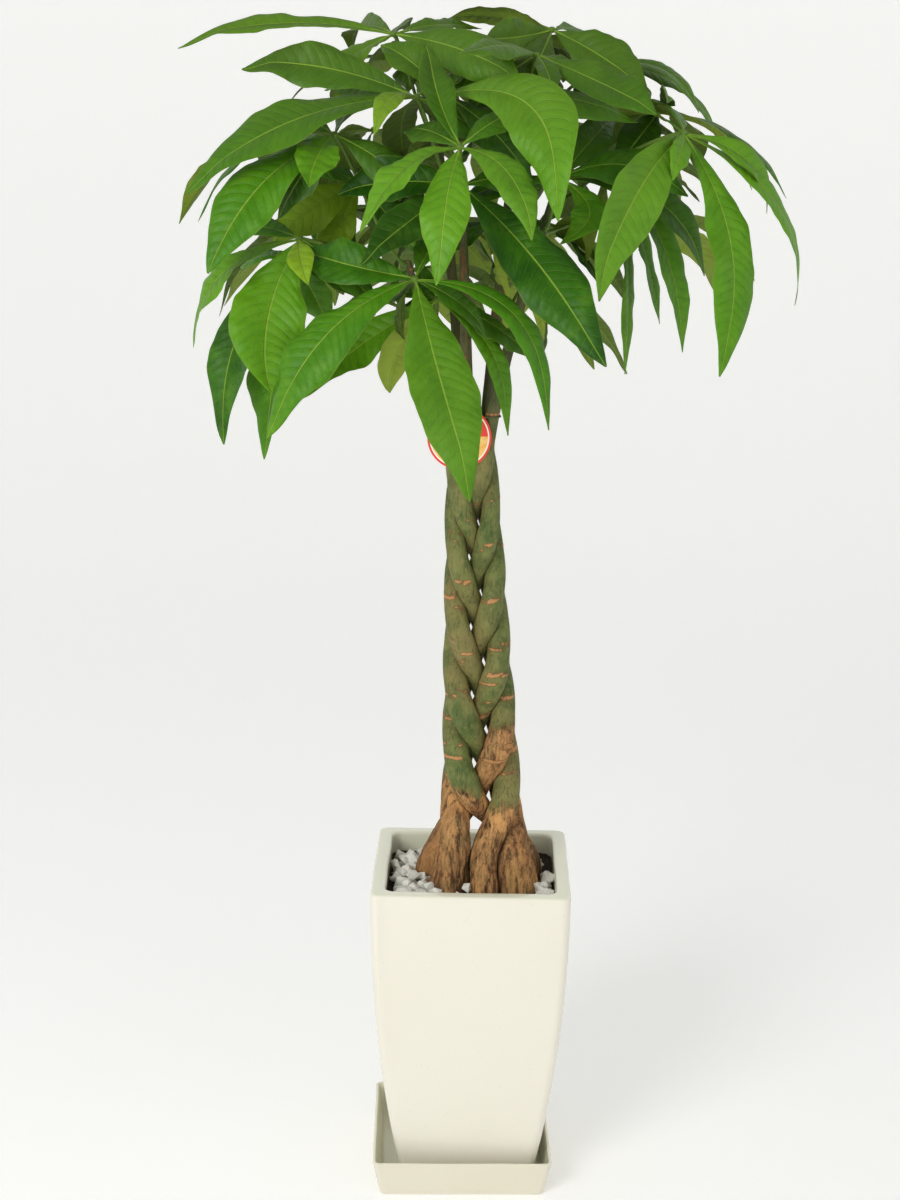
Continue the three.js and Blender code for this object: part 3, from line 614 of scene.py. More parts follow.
# %% Leaf scars
BARK = {"sides": 60, "step": 4.0, "seed": 5, "pressed": (1.0, 1.2), "slim": 20, "raised": 2}
CORK = {"top": (737, 617, 640, 637, 650), "fade": 110}
SCARS = [
    (0, 892, -2.1, 0.8, 2.6, 1.0), (1, 867, -0.8, 0.9, 2.8, 1.0), (3, 866, 0.9, 0.45, 4.0, 1.0),
    (1, 844, -0.2, 0.5, 1.5, 0.7), (1, 812, -2.0, 0.6, 1.5, 0.8), (1, 791, -2.0, 0.8, 1.7, 1.0),
    (4, 796, -0.4, 1.2, 2.0, 0.9), (4, 760, 1.1, 0.6, 3.4, 1.0), (4, 759, 2.2, 0.5, 2.6, 0.8),
    (2, 728, -1.3, 0.6, 2.2, 1.0), (4, 717, 2.0, 0.8, 1.8, 0.9), (3, 688, -0.5, 0.9, 2.2, 1.0),
    (4, 692, 2.7, 0.5, 2.8, 0.9), (3, 653, -0.5, 1.0, 1.2, 0.8), (3, 638, -0.9, 1.1, 1.6, 1.0),
    (1, 640, -0.5, 1.3, 4.5, 0.9), (0, 656, 2.6, 0.9, 4.5, 0.9), (1, 612, -0.3, 1.0, 2.4, 0.8),
    (4, 978, -1.7, 0.5, 1.6, 0.7), (2, 945, 2.3, 0.4, 3.0, 0.9), (0, 950, -0.3, 0.5, 1.4, 0.6),
    (1, 1000, 2.7, 0.4, 2.4, 0.8), (2, 1006, 0.0, 0.5, 1.6, 0.6),
]
SCAR = {"near": 14, "sag": 2.5, "lift": 0.8, "ends": (0.25, 0.3)}
MORE_SCARS = {"from": 560, "clear": 20, "every": (48, 90), "shoot": 0.45,
              "half": (0.5, 1.4), "thick": (1.4, 3.2), "deep": (0.5, 0.95)}


def scars_of(index):
    """The leaf scars up a trunk: height, the side that it faces, half arc, half height, depth."""
    more = MORE_SCARS
    scars = [row[1:] for row in SCARS if row[0] == index]
    draw = random.Random(BARK["seed"] + index)
    z = more["from"]
    while z < TRUNKS[index]["tip"][2] - more["clear"]:
        z += draw.uniform(*more["every"]) * (more["shoot"] if z > BRAID["end"] else 1)
        side = draw.uniform(0, math.pi)
        scars.append((z, side, *(draw.uniform(*more[key]) for key in ("half", "thick", "deep"))))
    return scars


def scar_strength(scars, angle, z):
    """How much of a scar lies at one place of the bark."""
    best = 0
    for height, side, half, thick, deep in scars:
        if abs(z - height) < SCAR["near"]:
            off = (angle - side + math.pi) % TURN - math.pi
            sag = SCAR["sag"] * (off / half) ** 2 - SCAR["lift"]
            band = math.exp(-((z - height - sag) / thick) ** 2)
            ending = smooth(abs(off), half - SCAR["ends"][0], half + SCAR["ends"][1])
            best = max(best, deep * band * (1 - ending))
    return best


print("scars:", sum(len(scars_of(index)) for index in range(len(TRUNKS))))

# %% Where trunks press on each other
def pressing(index, z):
    """The other trunks at this height, as middle, half width, half thickness and direction."""
    others = []
    for other in range(len(TRUNKS)):
        if other != index and z < TRUNKS[other]["tip"][2]:
            facing = trunk_facing(other, z)
            direction = (math.cos(facing), math.sin(facing))
            others.append((trunk_point(other, z), *trunk_size(other, z), *direction))
    return others


def pressed(point, others):
    """1 where a point of the bark meets another trunk, and 0 away from them."""
    nearest = math.inf
    for middle, half, thin, cos, sin in others:
        x, y = point.x - middle.x, point.y - middle.y
        nearest = min(nearest, math.hypot((x * cos + y * sin) / half, (y * cos - x * sin) / thin))
    return 1 - smooth(nearest, *BARK["pressed"])


print("neighbours at the first crossing:", len(pressing(0, BRAID["start"])))

# %% Bark relief
WANDER = {
    "grain": {"turns": 2.4, "rise": 0.022, "start": 9},
    "crack": {"turns": 5, "rise": 0.017, "start": 5},
    "knots": {"turns": 1.8, "rise": 0.028, "start": 3},
}
DEPTH = {"grain": 0.8, "scar": 0.8, "knots": 2.2, "crack": 1.4}


def ridge(x, y, z):
    """1 along a few thin wandering lines, and 0 between them."""
    return smooth(1 - 3 * abs(noise.noise(Vector((x, y, z)))), 0.3, 1)


def bark_swell(index, around, z, scar, corky):
    """How far the bark stands out, in mm, from its grain, scars, knots and cracks."""
    def wander(turns, rise, start):
        return Vector((around.x * turns, around.y * turns, z * rise + index * start))

    grain = noise.noise(wander(**WANDER["grain"]))
    crack = ridge(*wander(**WANDER["crack"]))
    knots = noise.noise(wander(**WANDER["knots"]))
    cork = DEPTH["knots"] * knots - DEPTH["crack"] * crack
    return DEPTH["grain"] * grain + DEPTH["scar"] * scar + corky * cork


def trunk_shape(index):
    shape, rows = Shape(), []
    scars = scars_of(index)
    bottom, top = SOIL["top"] - SOIL["sink"] + BARK["raised"], TRUNKS[index]["tip"][2]
    steps = round((top - bottom) / BARK["step"])
    cork_top = CORK["top"][index]
    for step in range(steps + 1):
        z = lerp(bottom, top, step / steps)
        half, thin = trunk_size(index, z)
        middle, facing = trunk_point(index, z), trunk_facing(index, z)
        corky = 1 - smooth(z, cork_top - CORK["fade"], cork_top)
        others = pressing(index, z)
        ring, places = [], []
        for side in range(BARK["sides"]):
            angle = TURN * side / BARK["sides"]
            around = Vector((math.cos(angle), math.sin(angle), 0))
            scar = scar_strength(scars, angle, z)
            swell = bark_swell(index, around, z, scar, corky * min(1, half / BARK["slim"]))
            offset = Vector((half * around.x, thin * around.y, 0)) * (1 + swell / half)
            point = Matrix.Rotation(facing, 3, "Z") @ offset + middle
            ring.append(tuple(point))
            places.append((scar, corky, pressed(point, others)))
        rows.append(shape.row(ring, places))
    shape.skin(rows)
    shape.cap(rows[0], flip=True)
    shape.cap(rows[-1])
    return shape


trunks = []
for index in range(len(TRUNKS)):
    name = f"trunk_{index + 1}"
    trunks.append(trunk_shape(index).object(name, "bark"))

# %% [markdown]
# Young bark is green and thin, with fine fibres that run up the trunk. The foot is old cork,
# brown and split, peeled in places to an orange under-bark, and the two meet in a ragged line. An
# image of bark could be wrapped round each trunk, but it would smear on the flat crossings, so
# noise in object space, stretched along the trunk, draws the fibres and the splits instead.

# %% Green bark and cork
def green_bark(f, fibres, blotches, drifts, flecks):
    height = f.parts(f.spot(1, 1, 1))[2]
    green = f.mix(blotches.rise(0.35, 0.68), tint(74, 92, 42), tint(112, 120, 64))
    green = f.mix(drifts.rise(0.42, 0.66) * 0.65, green, tint(140, 122, 76))
    green = f.mix((1 - fibres.rise(0.32, 0.5)) * 0.65, green, tint(46, 52, 26))
    green = f.mix(fibres.rise(0.58, 0.7) * 0.4, green, tint(142, 144, 92))
    green = f.mix(flecks.rise(0.6, 0.7) * 0.5, green, tint(154, 126, 84))
    shoots = height.rise(1.05, 1.15)
    green = f.mix(shoots * 0.65, green, f.mix(fibres, tint(40, 46, 28), tint(86, 88, 56)))
    red_bark = f.grain(26, 5, 0.65, (1, 1, 0.45)).rise(0.57, 0.62) * height.rise(1.12, 1.18)
    return f.mix(red_bark * 0.6, green, f.mix(fibres, tint(110, 64, 38), tint(176, 108, 66)))


def cork_bark(f, corky, fissure, strips, fibres, blotches, drifts, flecks):
    cork = f.mix(fissure.rise(0.38, 0.6), tint(62, 40, 26), tint(196, 148, 94))
    cork = f.mix(blotches.rise(0.48, 0.7) * 0.6, cork, tint(112, 104, 66))
    cork = f.mix(drifts.rise(0.46, 0.66) * 0.5, cork, tint(138, 90, 58))
    cork = f.mix(flecks.rise(0.56, 0.66) * 0.5, cork, tint(66, 48, 32))
    cork = f.mix((1 - strips.rise(0.36, 0.46)) * 0.55, cork, tint(74, 54, 34))
    cork = f.mix(strips.rise(0.56, 0.64) * 0.4, cork, tint(196, 150, 92))
    peeled = f.grain(24, 5, 0.62, (1, 1, 0.4)).rise(0.53, 0.57) * (1 - 0.6 * corky.rise(0.8, 1.0))
    return f.mix(peeled * 0.8, cork, f.mix(fibres, tint(188, 128, 70), tint(236, 186, 120)))


print("bark and cork colours ready")

# %% Bark with scars and pressed crossings
def bark():
    f = Finish("bark")
    scar, corky, press = f.given("place")
    fibres = f.grain(270, 6, 0.68, (1, 1, 0.16))
    blotches = f.grain(42, 5, 0.62)
    drifts = f.grain(11, 3, 0.55, (1, 1, 0.4))
    flecks = f.grain(340, 3, 0.5, (1, 1, 0.5))
    fissure = f.grain(150, 8, 0.75, (1, 1, 0.22))
    strips = f.grain(44, 6, 0.6, (1, 1, 0.12))
    green = green_bark(f, fibres, blotches, drifts, flecks)
    cork = cork_bark(f, corky, fissure, strips, fibres, blotches, drifts, flecks)
    edge = f.grain(48, 6, 0.72, (1, 1, 0.55)) - 0.5
    brown = (corky + 1.1 * edge).rise(0.32, 0.6)
    color = f.mix(brown, green, cork)
    # Where trunks press together the bark turns brown: partly a real scuff from rubbing, partly painted
    # shade in the crease. The near-black at the deepest part is painted shade.
    rub_and_crease_shade = (press + 0.5 * edge).rise(0.12, 0.9)
    color = f.mix(rub_and_crease_shade * 0.75, color, f.mix(fibres, tint(72, 54, 34), tint(116, 90, 56)))
    color = f.mix(press.rise(0.75, 1.0) * 0.7, color, tint(40, 30, 20))
    ragged = scar + 0.9 * (flecks - 0.5) + 0.5 * edge
    color = f.mix(ragged.rise(0.18, 0.4) * 0.8, color, tint(108, 78, 48))
    color = f.mix(ragged.rise(0.4, 0.66) * 0.92, color, tint(184, 134, 84))
    relief = fibres * (0.35 + 0.4 * brown) + (fissure + 0.5 * strips) * brown
    relief = relief + 0.35 * blotches + 0.3 * flecks
    shader = f.surface(
        Base_Color=color, Roughness=0.66 + 0.2 * brown, Specular_IOR_Level=0.28,
        Normal=f.bump(relief, 0.003, 0.9))
    return f.done(shader)


bark_material = bark()
for trunk in trunks:
    trunk.data.materials.append(bark_material)
print("bark on", len(trunks), "trunks")

# %% [markdown]
# ## Soil and stones
# Under the stones lies a dark crumbly bed of potting soil, seen only in the gaps. A displaced
# plane would do for its top, but it has to end flush with the pot's round-cornered inside. So it
# is a closed skin over square rings that grow from the middle, lifted here and there by noise.

# %% Soil
CRUMBS = {"rings": 26, "middle": (0.0, 0.02), "above": 1.5, "coarse": (0.11, 2.2), "fine": (0.3, 1.4)}


def crumb_height(x, y):
    coarse, fine = CRUMBS["coarse"], CRUMBS["fine"]
    lumps = noise.noise(Vector((x, y, 0)) * coarse[0]) * coarse[1]
    return lumps + noise.noise(Vector((x, y, 9)) * fine[0]) * fine[1]


def soil():
    shape, rows = Shape(), []
    corner, place = POT["inner_corner"], (POT_AT["x"], POT_AT["turn"])
    widest = pot_inside(SOIL["top"]) - SOIL["clear"]
    outwards = [n / CRUMBS["rings"] for n in range(1, CRUMBS["rings"] + 1)]
    for share in [*CRUMBS["middle"], *outwards]:
        ring = square_ring(max(widest * share, 0.5), corner * max(share, 0.01), 0, *place)
        top = SOIL["top"] + CRUMBS["above"]
        rows.append(shape.row([(x, y, top + crumb_height(x, y)) for x, y, _ in ring]))
    low = square_ring(pot_inside(UNDER_SOIL) - SOIL["clear"], corner, UNDER_SOIL, *place)
    rows.append(shape.row(low))
    shape.skin(rows)
    shape.cap(rows[0], flip=True)
    shape.cap(rows[-1])
    return shape.object("soil", "soil")


def soil_finish():
    f = Finish("potting_soil")
    crumbs = f.grain(240, 8, 0.7)
    color = f.mix(crumbs.rise(0.4, 0.7), tint(26, 18, 12), tint(70, 52, 38))
    return f.done(f.surface(Base_Color=color, Roughness=0.95, Normal=f.bump(crumbs, 0.003)))


soil().data.materials.append(soil_finish())

# %% [markdown]
# Broken white stone is strewn over the soil by hand, in two layers that thin out towards the
# back corners and round the feet. Round pebbles could be squashed spheres, but a crushed stone has
# flat broken faces: each is the hull of a few scattered points, with its edges taken off a
# little. One generator with a fixed seed places them all.

# %% One stone
STONES = {
    "columns": 13, "size": (10, 14.5), "layers": (1, 11), "seed": 21, "corners": 12, "worn": 0.5,
    "left_out": 0.05, "bare": {"side": 0.62, "back": 0.76, "left_out": 0.93},
    "low": {"front": -58, "side": 82}, "off_foot": {"share": 1.1, "size": 0.4},
    "long": 1.1, "wide": (0.8, 1), "tall": (0.7, 0.95), "uneven": (0.85, 1.05),
    "off_wall": 0.5, "in_cell": (0.1, 0.9), "lift": (-2, 2),
}


def stone(work, middle, size, draw):
    corners = []
    turned = Matrix.Rotation(draw.uniform(0, TURN), 3, "Z")
    form = (STONES["long"], draw.uniform(*STONES["wide"]), draw.uniform(*STONES["tall"]))
    for _ in range(STONES["corners"]):
        way = Vector([draw.uniform(-1, 1) for _ in range(3)]).normalized()
        corner = turned @ Vector(a * b for a, b in zip(way, form)) * size
        corner *= draw.uniform(*STONES["uneven"])
        corners.append(work.verts.new((Vector(middle) + corner) * MM))
    hull = bmesh.ops.convex_hull(work, input=corners)
    unused = [item for item in hull["geom_interior"] if isinstance(item, bmesh.types.BMVert)]
    bmesh.ops.delete(work, geom=unused, context="VERTS")


print("corners scattered for a stone:", STONES["corners"])

# %% Where stones lie
def in_back_corner(x, y, half):
    bare = STONES["bare"]
    return abs(x - POT_AT["x"]) > half * bare["side"] and y > half * bare["back"]


def on_a_foot(x, y, size):
    near = STONES["off_foot"]
    for trunk in TRUNKS:
        off = math.hypot(x - BRAID["foot_x"] - trunk["foot"][0], y - trunk["foot"][1])
        if off < trunk["radius"] * near["share"] + size * near["size"]:
            return True
    return False


def in_front_of_the_feet(x, y):
    low = STONES["low"]
    return y < low["front"] and abs(x - BRAID["foot_x"]) < low["side"]


def strewn(draw):
    """The middle and the size of each stone that is laid, drawn as its turn comes."""
    half = pot_inside(SOIL["top"]) - STONES["size"][1] * STONES["off_wall"]
    cell = 2 * half / STONES["columns"]
    places = range(STONES["columns"])
    for layer, column, line in itertools.product(STONES["layers"], places, places):
        x = POT_AT["x"] - half + cell * (column + draw.uniform(*STONES["in_cell"]))
        y = -half + cell * (line + draw.uniform(*STONES["in_cell"]))
        size = draw.uniform(*STONES["size"])
        z = SOIL["top"] + layer + draw.uniform(*STONES["lift"])
        sparse = STONES["bare"] if in_back_corner(x, y, half) else STONES
        skipped = draw.random() < sparse["left_out"]
        too_high = layer > STONES["layers"][0] and in_front_of_the_feet(x, y)
        if not (skipped or too_high or on_a_foot(x, y, size)):
            yield (x, y, z), size


print("layers of stones:", len(STONES["layers"]))

# %% Stones
def stones():
    draw = random.Random(STONES["seed"])
    work = bmesh.new()
    count = 0
    for middle, size in strewn(draw):
        stone(work, middle, size, draw)
        count += 1
    bmesh.ops.bevel(work, geom=work.edges[:], offset=STONES["worn"] * MM, segments=1, affect="EDGES")
    bmesh.ops.recalc_face_normals(work, faces=work.faces)
    mesh = bpy.data.meshes.new("white_stones")
    work.to_mesh(mesh)
    work.free()
    print("stones:", count)
    return placed("white_stones", mesh)


def stone_finish():
    f = Finish("white_stone")
    dust = f.grain(60, 5)
    grit = f.grain(520, 4, 0.7)
    color = f.mix(dust.rise(0.35, 0.7), tint(214, 213, 202), tint(240, 239, 231))
    color = f.mix(grit.rise(0.6, 0.75) * 0.3, color, tint(186, 180, 162))
    return f.done(f.surface(
        Base_Color=color, Roughness=0.8, Specular_IOR_Level=0.3, Normal=f.bump(grit, 0.0012, 0.6)))


stones().data.materials.append(stone_finish())

# %% [markdown]
# ## Twine and card
# A twisted twine ties the five trunks together over the plait, and a round card hangs on it. A
# ring would pass through the trunks, because they aren't laid in a circle. So the twine asks in
# each direction which trunk stands out farthest, and lies on that one. The card is plain here: a
# red ring, a thin cream line, and a field in red over yellow.

# %% Twine
TIE = {"radius": 1.3, "slack": 0.3, "z": 1122, "twists": 60, "strand": 0.15, "steps": 240, "sides": 10}
TAG = {"radius": 44, "thickness": 1.2, "tuck": 0.8, "x": -17, "z": 1094}


def bundle_edge(angle, z, beyond):
    """The bundle's outermost point in one direction, moved on that way by `beyond`."""
    way = Vector((math.cos(angle), math.sin(angle), 0))
    farthest, reach = None, -math.inf
    for index in range(len(TRUNKS)):
        half, thin = trunk_size(index, z)
        turned = Matrix.Rotation(trunk_facing(index, z), 3, "Z")
        side = turned.transposed() @ way
        edge = Vector((half * half * side.x, thin * thin * side.y, 0))
        edge = turned @ (edge / math.hypot(half * side.x, thin * side.y)) + trunk_point(index, z)
        if edge.dot(way) > reach:
            farthest, reach = edge, edge.dot(way)
    return farthest + way * beyond


def twine():
    shape, rows = Shape(), []
    for step in range(TIE["steps"]):
        angle = TURN * step / TIE["steps"]
        ring = []
        for side in range(TIE["sides"]):
            turn = TURN * side / TIE["sides"]
            bulge = TIE["strand"] * (math.cos(2 * turn + TIE["twists"] * angle) - 1)
            thick = TIE["radius"] * (1 + bulge)
            point = bundle_edge(angle, TIE["z"], TIE["radius"] + TIE["slack"] + thick * math.cos(turn))
            ring.append((point.x, point.y, TIE["z"] + thick * math.sin(turn)))
        rows.append(shape.row(ring))
    shape.skin([*rows, rows[0]])
    return shape.object("tie", "twine")


def twine_finish():
    f = Finish("green_twine")
    fibres = f.grain(900, 3)
    color = f.mix(fibres, tint(50, 60, 34), tint(96, 104, 64))
    return f.done(f.surface(Base_Color=color, Roughness=0.85, Normal=f.bump(fibres, 0.0005)))


twine().data.materials.append(twine_finish())

# %% Card
CARD = {"centre": 0.5, "edge": 0.3, "sides": 72, "line": (0.885, 0.895), "ring": (0.925, 0.935)}


def card():
    shape, rows = Shape(), []
    radius, half, edge = TAG["radius"], TAG["thickness"] / 2, CARD["edge"]
    front = bundle_edge(-TURN / 4, TIE["z"], 2 * TIE["radius"] + TIE["slack"]).y
    middle = front + TAG["tuck"] - GAP - half
    back = [(CARD["centre"], half), (radius / 2, half), (radius - edge, half), (radius, half - edge)]
    profile = [(reach, -off) for reach, off in back] + back[::-1]
    for reach, off in profile:
        ring, places = [], []
        for side in range(CARD["sides"]):
            angle = TURN * side / CARD["sides"]
            x, z = reach * math.cos(angle), reach * math.sin(angle)
            ring.append((TAG["x"] + x, middle + off, TAG["z"] + z))
            places.append((x / radius, z / radius, off))
        rows.append(shape.row(ring, places))
    shape.skin(rows)
    shape.cap(rows[0], flip=True)
    shape.cap(rows[-1])
    return shape.object("tag", "card")


def card_finish():
    f = Finish("printed_card")
    x, y, off = f.given("place")
    reach = (x * x + y * y) ** 0.5
    red, cream, yellow = tint(226, 48, 20), tint(240, 206, 124), tint(236, 170, 66)
    mottle = f.grain(180, 4)
    field = f.mix(mottle.rise(0.3, 0.7), cream, yellow)
    field = f.mix(y.rise(0.02, 0.06), field, red)
    color = f.mix(reach.rise(*CARD["line"]), field, tint(250, 240, 226))
    color = f.mix(reach.rise(*CARD["ring"]), color, red)
    plain = f.mix(mottle, tint(226, 214, 188), tint(240, 232, 212))
    color = f.mix(off.rise(-0.2, 0.0), color, plain)
    return f.done(f.surface(
        Base_Color=color, Roughness=0.35, Coat_Weight=0.3, Normal=f.bump(mottle, 0.0002, 0.3)))


card().data.materials.append(card_finish())

# %% [markdown]
# ## Leaves
# A palmate leaf is one stalk with four to seven leaflets that spread from its end. Copies of one
# leaf would be quick to scatter, but a crown is read by its outline, and no two leaves hang
# alike. So the table gives every leaf as the plant grew it: the trunk and height where its stalk
# leaves a shoot, its hub, and its leaflets as tip, width, arch, sway, roll and tone, from 0 for
# the deepest green to 1 for the brightest.

# %% Leaves in front of the shoots
FRONT_LEAVES = [
    {"name": "leaf_front_left_top", "trunk": 0, "from": 1485, "hub": (-110, -20, 1625), "blades": [
        (-395, 20, 1615, 44, 15, 20, 20, 0.8),
        (-175, 170, 1615, 45, 20, 0, 0, 0.4),
        (-90, 170, 1645, 34, 6, 0, 0, 0.3),
        (5, 60, 1635, 45, 5, 10, -45, 0.5),
        (55, -150, 1565, 62, 5, -10, -30, 0.45),
        (-200, -60, 1565, 55, 5, 0, 20, 0.75),
    ]},
    {"name": "leaf_front_left_high", "trunk": 3, "from": 1410, "hub": (-80, -110, 1545), "blades": [
        (-305, -90, 1585, 62, 15, 0, 35, 0.3),
        (-368, -170, 1430, 82, 28, 5, 18, 0.5),
        (-131, -200, 1503, 32, 22, 0, 20, 0.95),
        (-200, 20, 1560, 50, 10, 0, 0, 0.4),
        (-20, 10, 1555, 50, 12, 0, 0, 0.5),
    ]},
    {"name": "leaf_front_centre_high", "trunk": 3, "from": 1440, "hub": (-45, -90, 1550), "blades": [
        (95, -270, 1410, 86, 48, -50, -30, 0.7),
        (210, -60, 1520, 60, 27, 14, -10, 0.6),
        (35, 90, 1595, 50, 20, 0, 0, 0.5),
        (-110, -20, 1570, 50, 12, 0, 0, 0.4),
        (90, 20, 1540, 50, 12, 0, 0, 0.5),
    ]},
    {"name": "leaf_front_centre", "trunk": 3, "from": 1428, "hub": (-25, -190, 1485), "blades": [
        (-50, -300, 1330, 62, 27, 0, 5, 0.75),
        (-145, -250, 1380, 50, 34, 0, -5, 0.85),
        (65, -290, 1380, 52, 30, -10, 0, 0.7),
        (-95, -110, 1505, 45, 10, 0, 0, 0.3),
        (-65, -110, 1610, 45, 0, -8, -20, 0.3),
        (65, -100, 1530, 45, 12, 0, 0, 0.35),
    ]},
    {"name": "leaf_front_dark", "trunk": 3, "from": 1388, "hub": (-22, -116, 1435), "blades": [
        (155, -270, 1225, 85, 23, 0, -20, 0.12),
        (-180, -120, 1425, 65, 10, 0, 30, 0.03),
        (-145, -210, 1345, 52, 0, 6, 30, 0.1),
        (90, -60, 1435, 50, 12, 0, 0, 0.2),
        (-100, -20, 1440, 50, 12, 0, 0, 0.15),
    ]},
    {"name": "leaf_front_low", "trunk": 4, "from": 1290, "hub": (-80, -170, 1320), "blades": [
        (-5, -290, 1070, 90, 22, 5, 15, 0.65),
        (88, -220, 1142, 46, 60, -35, 15, 0.45),
        (-260, -240, 1130, 78, 40, 0, 15, 0.5),
        (-225, -110, 1350, 64, 15, -20, 20, 0.2),
        (-25, -50, 1370, 50, 15, 0, 0, 0.3),
    ]},
    {"name": "leaf_inner_low", "trunk": 4, "from": 1240, "hub": (-50, -60, 1285), "blades": [
        (42, -80, 1112, 36, 12, -30, 15, 0.6),
        (-225, -120, 1165, 62, -10, 40, 35, 0.8),
        (-120, -10, 1160, 52, 20, -20, -70, 0.8),
        (-60, 40, 1220, 48, 12, 0, 0, 0.5),
        (-150, 50, 1255, 50, 12, 0, 0, 0.5),
    ]},
]
print("leaves in front of the shoots:", len(FRONT_LEAVES))

# %% Leaves at the right and at the top
FRONT_LEAVES += [
    {"name": "leaf_right_outer", "trunk": 1, "from": 1445, "hub": (265, -100, 1505), "blades": [
        (305, -210, 1215, 70, 16, -45, -20, 0.6),
        (385, -60, 1405, 42, 30, 20, -30, 0.75),
        (420, -30, 1278, 46, 46, 36, -30, 0.7),
        (145, -220, 1310, 76, 30, 16, 15, 0.7),
        (165, 0, 1525, 50, 15, 0, 0, 0.55),
        (230, 70, 1535, 50, 18, 0, 0, 0.5),
        (243, -165, 1452, 32, 8, 0, 10, 0.85),
    ]},
    {"name": "leaf_right_inner", "trunk": 1, "from": 1375, "hub": (110, -55, 1445), "blades": [
        (275, -90, 1435, 62, 30, 10, -45, 0.35),
        (315, 0, 1320, 60, 44, 0, -45, 0.25),
        (105, -130, 1365, 48, 12, -38, -20, 0.65),
        (200, 80, 1505, 50, 16, 0, 0, 0.3),
        (40, 60, 1500, 50, 16, 0, 0, 0.3),
    ]},
    {"name": "leaf_top_right", "trunk": 2, "from": 1530, "hub": (100, 30, 1635), "blades": [
        (5, -60, 1620, 52, -5, 0, 45, 0.5),
        (34, 120, 1645, 45, 5, -5, 0, 0.45),
        (175, 150, 1622, 45, 10, 0, 0, 0.4),
        (225, -40, 1555, 72, 5, 8, -60, 0.4),
        (-40, 50, 1645, 48, 8, 0, 0, 0.45),
    ]},
    {"name": "leaf_top_front", "trunk": 2, "from": 1500, "hub": (75, -60, 1600), "blades": [
        (225, -150, 1530, 62, 0, -8, -30, 0.35),
        (93, -130, 1551, 34, 6, 0, 0, 0.2),
        (170, 20, 1575, 50, 12, 0, 0, 0.35),
        (-30, -170, 1550, 50, 12, 0, 0, 0.5),
        (60, 60, 1580, 50, 10, 0, 0, 0.5),
    ]},
]
print("with the right and the top:", len(FRONT_LEAVES))

# %% Leaves at the left
FRONT_LEAVES += [
    {"name": "leaf_left_front", "trunk": 4, "from": 1310, "hub": (-230, -110, 1365), "blades": [
        (-370, -100, 1225, 50, 42, -15, 20, 0.7),
        (-265, -210, 1185, 100, 2, 25, 45, 0.75),
        (-216, -190, 1316, 36, 8, 0, 20, 0.9),
        (-160, -70, 1300, 48, 12, 0, 0, 0.4),
        (-330, 10, 1360, 50, 16, 0, 0, 0.4),
    ]},
    {"name": "leaf_left_low", "trunk": 4, "from": 1265, "hub": (-245, -20, 1335), "blades": [
        (-335, -60, 1095, 64, 30, 8, 50, 0.22),
        (-280, -60, 1075, 78, -5, 26, 25, 0.5),
        (-190, -60, 1240, 50, 14, -7, -15, 0.4),
        (-320, 60, 1310, 50, 12, 0, 0, 0.45),
        (-200, 130, 1320, 50, 14, 0, 0, 0.4),
    ]},
    {"name": "leaf_left_high", "trunk": 4, "from": 1328, "hub": (-185, -104, 1497), "blades": [
        (-340, -190, 1325, 80, 27, 0, 35, 0.55),
        (-215, -190, 1435, 56, 7, 0, 40, 0.75),
        (-255, -130, 1395, 52, 9, -11, 25, 0.2),
        (-270, 20, 1515, 50, 16, 0, 0, 0.4),
        (-120, 20, 1540, 50, 16, 0, 0, 0.4),
    ]},
    {"name": "leaf_left_inner", "trunk": 0, "from": 1380, "hub": (-155, 10, 1430), "blades": [
        (-270, -20, 1355, 62, 9, -25, 70, 1.0),
        (-205, -30, 1330, 52, 0, 8, 50, 1.0),
        (-240, 80, 1445, 50, 11, 0, 0, 0.5),
        (-110, 130, 1440, 50, 12, 0, 0, 0.4),
        (-60, 30, 1460, 45, 10, 0, 0, 0.5),
    ]},
]
print("with the left:", len(FRONT_LEAVES))

# %% Leaves at the right, deeper in the crown
FRONT_LEAVES += [
    {"name": "leaf_inner_right", "trunk": 2, "from": 1300, "hub": (35, 0, 1380), "blades": [
        (47, -80, 1286, 74, 10, 20, 80, 0.8),
        (90, -60, 1240, 50, 27, 9, 80, 0.9),
        (-45, -40, 1330, 50, 10, 0, 0, 0.5),
        (100, 100, 1370, 50, 12, 0, 0, 0.5),
    ]},
    {"name": "leaf_right_low", "trunk": 1, "from": 1410, "hub": (195, 70, 1460), "blades": [
        (260, 40, 1245, 48, 4, 18, -30, 0.6),
        (290, 20, 1215, 54, 20, 42, -40, 0.6),
        (155, -20, 1335, 50, -6, 7, 80, 0.8),
        (210, 10, 1180, 48, 10, 0, -20, 0.75),
        (320, 120, 1410, 50, 14, 0, 0, 0.35),
        (210, 230, 1420, 50, 14, 0, 0, 0.4),
    ]},
    {"name": "leaf_right_high", "trunk": 2, "from": 1515, "hub": (175, 110, 1590), "blades": [
        (305, 60, 1530, 50, 30, 7, -35, 0.5),
        (345, 120, 1495, 50, 33, 0, -35, 0.55),
        (235, 20, 1550, 50, 12, 0, 0, 0.4),
        (215, 240, 1600, 50, 14, 0, 0, 0.35),
        (70, 190, 1615, 50, 14, 0, 0, 0.4),
    ]},
]
print("leaves at the front:", len(FRONT_LEAVES))

